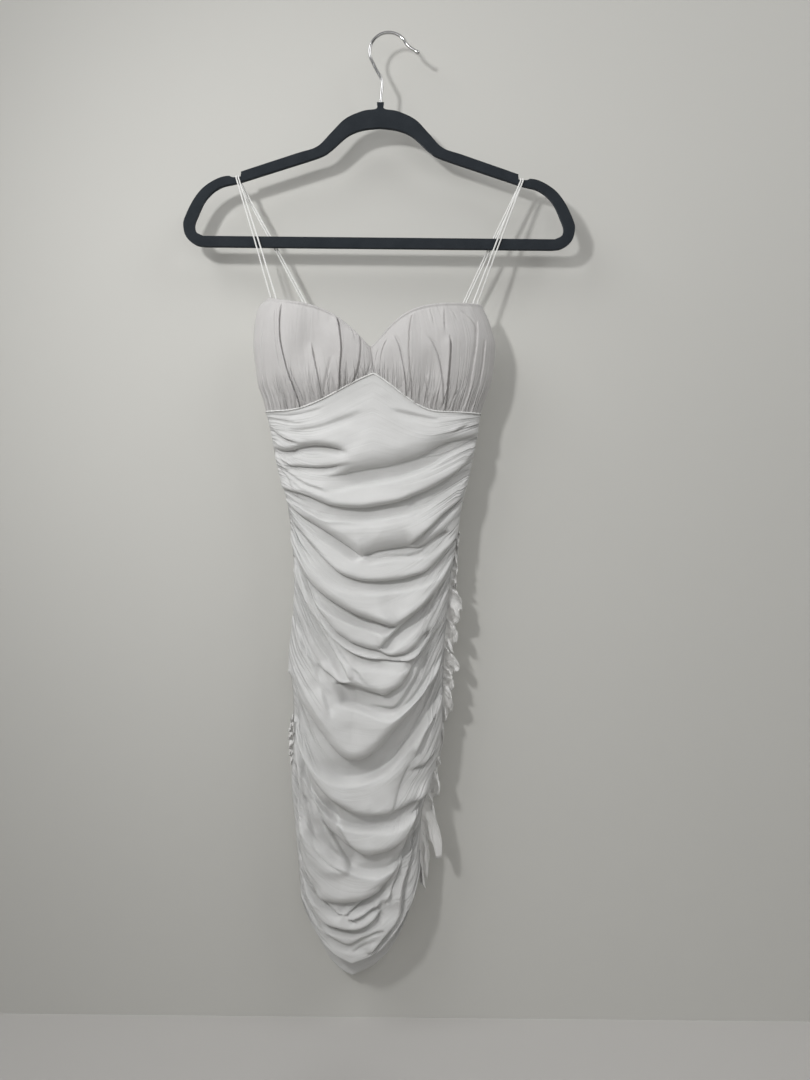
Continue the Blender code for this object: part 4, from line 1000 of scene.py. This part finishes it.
def round_tube(name, route, radius, sides, material, radii=None):
    """A round cord or wire along a route in millimetres, as a mesh with closed ends."""
    curve = bpy.data.curves.new(name, "CURVE")
    curve.dimensions = "3D"
    curve.bevel_depth = radius * MM
    curve.bevel_resolution = sides // 4
    curve.use_fill_caps = True
    spline = curve.splines.new("POLY")
    spline.points.add(len(route) - 1)
    for i, place in enumerate(route):
        spline.points[i].co = (*(Vector(place) * MM), 1.0)
        if radii is not None:
            spline.points[i].radius = radii[i]
    piece = add_piece(name, mesh_of(curve), material)
    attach(piece, "root")
    return piece


def cord_finish(name, colour, groove_shade, twist):
    """Rolled jersey cord: a slight spiral of stretched loops, with painted shade in the grooves
    between them.
    """
    material, tree, shader = new_material(name)
    rib = node(tree, "TexWave", {"Vector": node(tree, "TexCoord", {}, "Object"),
                                 "Scale": twist, "Distortion": 1.2}, "Fac",
               wave_type="BANDS", bands_direction="DIAGONAL")
    # The colour turns to the painted shade where the rib sinks into its grooves.
    fill(tree, shader, {"Base Color": mixed(tree, rib, groove_shade, colour),
                        "Normal": bump(tree, 0.4, 0.0001, rib),
                        "Roughness": 0.55, "Sheen Weight": 0.1})
    return material


across = np.linspace(-PIPING_END, PIPING_END, 240)
seam = seam_height(across)
middle, half, front_depth, _ = form_at(seam)
route = np.stack([middle + half * across,
                  -(front_depth * belly(across) + HALF_GAP + PIPING_OUT),
                  seam + PIPING_UP], axis=1)
# The darker of the piping's two colours is painted shade in the grooves of its cord.
piping = round_tube("bust_piping", route, PIPING_RADIUS, 12,
                    cord_finish("piping_jersey", (0.80, 0.80, 0.785), (0.66, 0.66, 0.645),
                                160.0))


# ---- Frills --------------------------------------------------------------------------
# A narrow strip of the jersey gathered into each side seam. It curls forwards and
# backwards in small petals, long and leaf-like near the hem.

FRILL_WALL = 0.9
FRILL_TUCK = 0.6            # how deep the strip's root is sewn into the seam
CUPPED_OUT = 0.18           # how the petals curl, outwards and to the front
CUPPED_FORWARD = 1.1
CURL_TURN = 2.1
CRUMPLE = (0.16, 2.6, 1.5)  # how much they crumple, outwards, forwards and upwards
CRIMP = (0.9, 1.6)          # and how finely they crimp, forwards and upwards

# A petal: the height of its root and of its tip, its reach and how far it swings back.
Petal = namedtuple("Petal", "root tip reach swing")
RIGHT_PETALS = [Petal(*row) for row in (
    (-566, -568, 1.5, -1), (-574, -578, 3, 3), (-580, -584, 2, -3),
    (-588, -592, 3.5, 3), (-596, -600, 3, -3.5), (-603, -607, 6, 3),
    (-610, -614, 6.5, -4), (-616, -621, 7, 3.5), (-622, -627, 8, -4.5),
    (-628, -634, 8, 4), (-633, -640, 10, -5), (-636, -652, 15, 3), (-642, -657, 15, -2),
    (-648, -657, 12, -6), (-652, -668, 13, -5), (-659, -671, 13.5, 2),
    (-664, -677, 10, 6), (-668, -682, 10, -4), (-672, -691, 14, -3), (-678, -694, 13, 4),
    (-684, -697, 11, 7), (-690, -704, 10.5, -5), (-696, -710, 9, 5), (-700, -714, 11, -6),
    (-706, -724.5, 17.6, -2), (-713, -726, 14, 4), (-718, -730, 12, 7),
    (-722, -733, 11, -5), (-728, -737, 10, 4), (-732, -743, 13.7, -4),
    (-738, -748, 11, 4), (-743, -755, 10.5, -6), (-748, -766, 12, -3),
    (-755, -773, 11, 3), (-762, -776, 8.5, 6), (-768, -779, 5, -3), (-780, -786, 2.5, 2),
    (-792, -796, 2, -2), (-804, -812, 2.5, 2), (-822, -824, 2, 2), (-826, -832, 4, -2),
    (-832, -838, 3, 3), (-838, -848, 4, -3), (-844, -858, 9, -4), (-852, -868, 10, 3),
    (-860, -872, 6, 6), (-866, -884, 9, -4), (-870, -899, 14, -5), (-878, -938, 20.5, -4),
    (-888, -934, 15.5, -1), (-897, -917, 8, 4), (-904, -932, 9, 3),
    (-911, -943, 12, 6), (-920, -966, 9.5, 5), (-930, -956, 7, 7), (-938, -960, 5, 3),
    (-944, -976, 7, 1), (-952, -970, 4.5, 3), (-958, -968, 2, 3),
)]
LEFT_PETALS = [Petal(*row) for row in (
    (-776, -777, 1, 0), (-780, -782, 3, -3), (-785, -787, 5, 2), (-789, -792, 4, -4),
    (-794, -797, 6.5, 3), (-799, -802, 5, -4), (-804, -808, 7, 3), (-809, -813, 5, -4),
    (-814, -818, 6, 3), (-819, -823, 4, -3), (-824, -828, 4, 2), (-830, -833, 2, -2),
    (-836, -837, 1, 0),
)]


def lay_frill(side, petals, seed):
    """A function that lays a gathered strip between its sewn root and its free edge."""
    table = np.array([tuple(petal) for petal in petals], float)
    index = np.arange(len(table))

    def place(even, down):
        out = (1 + even) / 2 if side > 0 else (1 - even) / 2
        at = down * (len(table) - 1)
        root, swing = [smooth_read(index, table[:, k], at) for k in (0, 3)]
        tip, reach = [np.interp(at, index, table[:, k]) for k in (1, 2)]
        middle, half, _, _ = form_at(root)
        edge = side * (middle + side * half)
        cupped = np.sin(np.pi * out)
        bend = out + CUPPED_OUT * cupped
        crumple = soft_noise(5 * out, 1.3 * at, 1.0, seed)
        crimp = soft_noise(3 * out, 3.1 * at, 1.0, seed + 1)
        x = side * (edge - FRILL_TUCK + reach * (bend + CRUMPLE[0] * out * crumple))
        curl = CUPPED_FORWARD * cupped * np.cos(at * CURL_TURN)
        y = swing * out ** 0.8 + (curl + CRUMPLE[1] * out * crumple
                                  + CRIMP[0] * crimp * cupped)
        rough = (CRIMP[1] * crimp + CRUMPLE[2] * crumple) * out
        z = root + (tip - root) * out ** 1.5 + rough
        return np.stack([x, y, z], axis=1)

    return place


# The frill's colour is painted lighter than the body's jersey: painted light on its petals.
frill_jersey_painted_light = jersey("frill_jersey_painted_light", (0.76, 0.755, 0.74), (0.72, 0.715, 0.70),
                      WALES, 0.55, 0.35, 0.08)
for name, side, petals, cut in (("ruffle_right", 1, RIGHT_PETALS, (0.02, 0.4)),
                                ("ruffle_left", -1, LEFT_PETALS, (0.01, 0.065))):
    frill = hang_cloth(name + "_strip", (20, 14 * len(petals)),
                       lay_frill(side, petals, 51), FRILL_WALL, cut, frill_jersey_painted_light)
    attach(frill, "root")
    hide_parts(name)


# ---- Straps --------------------------------------------------------------------------
# Two thin round cords of rolled jersey on each side. They are sewn under the neckline,
# pass in front of the hanger's bar, over its notch and down behind to the back's edge.

STRAND_RADIUS = 0.9
STRAND_CLEAR = 3.7          # how far a strand's middle keeps from the hanger's
STRAND_ROUND = 1.6          # how much it rounds off over the notch
STRAND_FALL = 3.0           # how far below the notch it is straight again
Strand = namedtuple("Strand", "name foot bar notch behind end")
STRANDS = [
    Strand("strap_left_outer", (-130.4, -7.9, -304.9), (-149.9, -4.2, -239.0),
           (-171.9, 0.0, -164.8), (-131.8, 5.6, -239.0), (-70.5, 14.1, -352.4)),
    Strand("strap_left_inner", (-123.6, -11.6, -307.3), (-145.5, -6.1, -239.0),
           (-169.3, 0.0, -164.8), (-128.9, 5.6, -239.0), (-66.5, 14.3, -353.7)),
    Strand("strap_right_outer", (102.9, -6.7, -309.4), (127.8, -3.7, -239.0),
           (154.0, 0.0, -164.8), (120.6, 4.8, -239.0), (74.4, 11.5, -341.5)),
    Strand("strap_right_inner", (98.0, -10.4, -309.9), (124.1, -5.3, -239.0),
           (151.4, 0.0, -164.8), (117.8, 5.0, -239.0), (70.4, 12.0, -343.5)),
]


def straight(start, end, shares):
    """Places on the straight line between two others."""
    return [start + (end - start) * share for share in shares]


# The darker of the straps' two colours is painted shade in the grooves of the cord.
strap_cord = cord_finish("strap_cord", (0.86, 0.86, 0.84), (0.74, 0.74, 0.72), 300.0)
for strand in STRANDS:
    foot, bar, notch, behind, end = [np.array(p) for p in strand[1:]]
    front_top, back_top = [notch + (0, side * STRAND_CLEAR, -STRAND_FALL)
                           for side in (-1, 1)]
    route = straight(foot, bar, np.linspace(0, 1, 8))
    route += straight(bar, front_top, np.linspace(0.12, 1, 8))
    route += [notch + (0, -STRAND_CLEAR * math.cos(a),
                       -STRAND_ROUND + STRAND_ROUND * math.sin(a) ** 0.5)
              for a in np.linspace(0, math.pi, 13)]
    route += straight(back_top, behind, np.linspace(0, 1, 8))
    route += straight(behind, end, np.linspace(0.1, 1, 9))
    strap = round_tube(strand.name + "_cord", route, STRAND_RADIUS, 16, strap_cord)
    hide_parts(strand.name)


# ---- Hanger --------------------------------------------------------------------------
# A slim moulded ring covered in charcoal flock, with an arched top, a shallow notch
# in each shoulder and a straight lower bar. Its edges are rounded all the way round.

HANGER_X = -9.0
HANGER_THICK = 5.0
HANGER_EDGE = 1.9           # how far its edges are rounded
MERGED = 0.00001            # points nearer to each other than this, in metres, join
STRAIGHT_ON = 0.01          # the turn, in radians, below which an edge is dropped
SHARP = 1.2                 # and the one from which it counts as a rim
ONE_SIDE = 0.0001           # if both its ends lie this level, in metres, on one face
ORDER = Vector((1.0, 0.618, 0.3819))    # so that every run lists its points alike
HANGER_OUTSIDE = [
    (4.0, -79), (4.6, -86.4), (20, -89.2), (40, -98.4), (56, -114.6), (71.5, -130.2),
    (95, -138.3), (152, -157.6), (157.4, -160.4), (158.6, -165.4), (162, -166),
    (168, -166), (172.5, -164.6), (184, -167.4), (200, -177.4), (212, -192.5),
    (221.3, -212), (223, -222), (219.5, -234.5), (208.5, -243), (197, -245),
]
HANGER_INSIDE = [
    (0, -107.5), (20, -110), (37, -117.2), (56.4, -134.2), (70, -142), (110, -155.2),
    (158.3, -171.1), (181.7, -177.6), (197.4, -191.1), (207, -210.9), (210.3, -221),
    (208, -229), (200, -233.2),
]

outline = bpy.data.curves.new("hanger_outline", "CURVE")
outline.dimensions = "2D"
outline.fill_mode = "BOTH"
outline.extrude = HANGER_THICK / 2 * MM
for corners in (HANGER_OUTSIDE, HANGER_INSIDE):
    half_line = smooth_line(corners, 6)
    mirrored = [(-x, z) for x, z in half_line[::-1] if x > 0.01]
    whole = [tuple(p) for p in half_line] + mirrored
    spline = outline.splines.new("POLY")
    spline.points.add(len(whole) - 1)
    for i, (x, z) in enumerate(whole):
        spline.points[i].co = (x * MM, z * MM, 0.0, 1.0)
    spline.use_cyclic_u = True
hanger_mesh = mesh_of(outline)
hanger_mesh.transform(Matrix.Translation((HANGER_X * MM, 0, 0))
                      @ Matrix.Rotation(math.pi / 2, 4, "X"))
ring = bmesh.new()
ring.from_mesh(hanger_mesh)
bmesh.ops.remove_doubles(ring, verts=ring.verts, dist=MERGED)
bmesh.ops.dissolve_limit(ring, angle_limit=STRAIGHT_ON, verts=ring.verts,
                         edges=ring.edges)
bmesh.ops.recalc_face_normals(ring, faces=ring.faces)
rims = [edge for edge in ring.edges
        if len(edge.link_faces) == 2 and edge.calc_face_angle(0) > SHARP
        and abs(edge.verts[0].co.y - edge.verts[1].co.y) < ONE_SIDE]
bmesh.ops.bevel(ring, geom=rims, offset=HANGER_EDGE * MM, offset_type="OFFSET",
                segments=5, profile=0.5, affect="EDGES", clamp_overlap=True, material=-1)
bmesh.ops.triangulate(ring, faces=[f for f in ring.faces if len(f.verts) > 4])
ring.verts.sort(key=lambda vert: vert.co.dot(ORDER))
ring.faces.sort(key=lambda face: face.calc_center_median().dot(ORDER))
ring.to_mesh(hanger_mesh)
ring.free()

flocking, tree, shader = new_material("flocking")
fibres = speckle(tree, 2600.0, 2.0)
fleck = mixed(tree, fibres, (0.013, 0.016, 0.020), (0.034, 0.040, 0.047))
rubbed = ranged(tree, speckle(tree, 60.0, 4.0), (0.35, 0.8), (0.0, 0.3))
fill(tree, shader, {"Base Color": mixed(tree, rubbed, fleck, (0.045, 0.052, 0.06)),
                    "Normal": bump(tree, 0.6, 0.0004, fibres), "Roughness": 0.95,
                    "Specular IOR Level": 0.15, "Sheen Weight": 0.25,
                    "Sheen Roughness": 0.35, "Sheen Tint": (0.5, 0.56, 0.62, 1)})
hanger = add_piece("hanger_body_flocked", hanger_mesh, flocking)
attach(hanger, "root")
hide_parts("hanger_body")


# ---- Hook ----------------------------------------------------------------------------
# Polished steel wire set into the hanger's neck. It bends once, rounds its crown and
# flares out to a small ball at the tip.

WIRE_RADIUS = 1.75
HOOK_RADIUS = 21.9
CROWN_TURN = (208, 24)      # where its round crown begins and ends, in degrees
TIP_RADIUS = 2.6
TIP_TURN = (0.25 * math.pi, 0.985 * math.pi)
TIP_SET = 0.1               # how far the ball is set off from the wire's end
HOOK_SHANK = [(-8.8, -84.0), (-8.8, -78.6), (-7.6, -64), (-7.4, -56), (-9.0, -49.5),
              (-13.2, -42.5)]
HOOK_FLARE = [(25.2, -15.8), (31.0, -19.6)]

crown = [(HOOK_RADIUS * math.cos(a), WIRE_RADIUS - HOOK_RADIUS + HOOK_RADIUS * math.sin(a))
         for a in np.radians(np.linspace(*CROWN_TURN, 15))]
wire = smooth_line(HOOK_SHANK + crown + HOOK_FLARE, 5)
route = [np.array((x, 0.0, z)) for x, z in wire]
radii = [1.0] * len(route)
tip = route[-1]
along = (route[-1] - route[-2]) / np.linalg.norm(route[-1] - route[-2])
for turn in np.linspace(*TIP_TURN, 14):
    rise = math.cos(TIP_TURN[0]) - math.cos(turn) + TIP_SET
    route.append(tip + along * TIP_RADIUS * rise)
    radii.append(TIP_RADIUS / WIRE_RADIUS * math.sin(turn))

bright_wire, tree, shader = new_material("bright_wire")
scuffs = speckle(tree, 500.0, 4.0)
fill(tree, shader, {"Base Color": mixed(tree, scuffs, (0.5, 0.5, 0.5), (0.66, 0.66, 0.66)),
                    "Roughness": ranged(tree, scuffs, (0.0, 1.0), (0.08, 0.3)),
                    "Metallic": 1.0})
hook = round_tube("hanger_hook_wire", route, WIRE_RADIUS, 20, bright_wire, radii)
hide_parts("hanger_hook")


# ---- Wall and floor ------------------------------------------------------------------
# Not part of the dress: a plain pale wall close behind it, seen from the front alone,
# and a plain pale floor.

WALL_Y = 0.034
FLOOR_Z = -1.142
STAGE_HALF = 3.0            # half the side of either


def stage_finish(name, colour):
    """Smooth pale paint with a faint unevenness, not there from behind."""
    material, tree, shader = new_material(name)
    low, high = [[part * share for part in colour] for share in (0.985, 1.015)]
    fill(tree, shader, {"Base Color": mixed(tree, speckle(tree, 3.0, 5.0), low, high),
                        "Roughness": 0.85, "Specular IOR Level": 0.2})
    unseen = maths(tree, "MAXIMUM", node(tree, "NewGeometry", {}, "Backfacing"),
                   node(tree, "LightPath", {}, "Is Shadow Ray"))
    paint = tree.nodes["Principled BSDF"].outputs["BSDF"]
    either = node(tree, "MixShader", {0: unseen, 1: paint,
                                      2: node(tree, "BsdfTransparent", {})})
    fill(tree, tree.nodes["Material Output"].inputs, {"Surface": either})
    return material


for name, colour, where in (
        ("wall", (0.60, 0.595, 0.565),
         Matrix.Translation((0, WALL_Y, FLOOR_Z + STAGE_HALF))
         @ Matrix.Rotation(math.pi / 2, 4, "X")),
        ("floor", (0.44, 0.43, 0.415),
         Matrix.Translation((0, WALL_Y - STAGE_HALF, FLOOR_Z)))):
    sheet = bmesh.new()
    bmesh.ops.create_grid(sheet, x_segments=1, y_segments=1, size=STAGE_HALF, matrix=where)
    mesh = bpy.data.meshes.new(name)
    sheet.to_mesh(mesh)
    sheet.free()
    screen = add_piece(name, mesh, stage_finish(name, colour))


# ---- Light and camera ----------------------------------------------------------------
# A small lamp near the left draws the shadows on the wall, two soft panels high on
# either side light the cloth, and gentle fills stand in front and behind.

def aim(light, where, at):
    """Puts a light in the scene, looking at a place."""
    made = bpy.data.objects.new(light.name, light)
    made.location = where
    made.rotation_euler = (Vector(at) - Vector(where)).to_track_quat("-Z", "Y").to_euler()
    bpy.context.scene.collection.objects.link(made)


key = bpy.data.lights.new("key", "SPOT")
key.energy = 22.8
key.shadow_soft_size = 0.06
key.spot_size = math.radians(90)
key.spot_blend = 1.0
aim(key, (-0.565, -0.95, -0.03), (0.2, 0.0, -0.45))


def soft_panel(name, width, height, power, where, at):
    """A flat soft light."""
    panel = bpy.data.lights.new(name, "AREA")
    panel.shape = "RECTANGLE"
    panel.size = width
    panel.size_y = height
    panel.energy = power
    aim(panel, where, at)


soft_panel("left_window", 1.0, 1.0, 13.4, (-1.3, -0.9, 0.9), (-0.3, 0.0, -0.35))
soft_panel("right_wall", 1.0, 1.0, 9.5, (1.3, -0.9, 0.9), (0.3, 0.0, -0.35))
soft_panel("front_fill", 1.6, 0.8, 3.6, (0.0, -1.5, -0.05), (0.0, 0.0, -0.15))
soft_panel("rear", 2.5, 2.0, 24.0, (0.2, 2.4, 0.6), (0.0, 0.0, -0.6))

world = bpy.data.worlds.new("room")
bpy.context.scene.world = world
world.use_nodes = True
tree = world.node_tree
height = node(tree, "SeparateXYZ", {"Vector": node(tree, "TexCoord", {}, "Generated")}, "Z")
overhead = ranged(tree, height, (-0.1, 0.8), (0.01, 0.34))
seen = node(tree, "LightPath", {}, "Is Camera Ray")
backdrop = node(tree, "Mix", {0: seen, 2: overhead, 3: 0.42})
fill(tree, tree.nodes["Background"].inputs, {"Color": backdrop})

CAMERA_AT = (0.024, -0.9254, -0.5772)
CAMERA_ROLL = 0.00995
lens = bpy.data.cameras.new("camera")
lens.lens = 27.03
lens.sensor_width = 36.0
camera = bpy.data.objects.new("camera", lens)
camera.matrix_world = (Matrix.Translation(CAMERA_AT) @ Matrix.Rotation(math.pi / 2, 4, "X")
                       @ Matrix.Rotation(CAMERA_ROLL, 4, "Z"))
bpy.context.scene.collection.objects.link(camera)
bpy.context.scene.camera = camera
bpy.context.scene.view_settings.view_transform = "Standard"
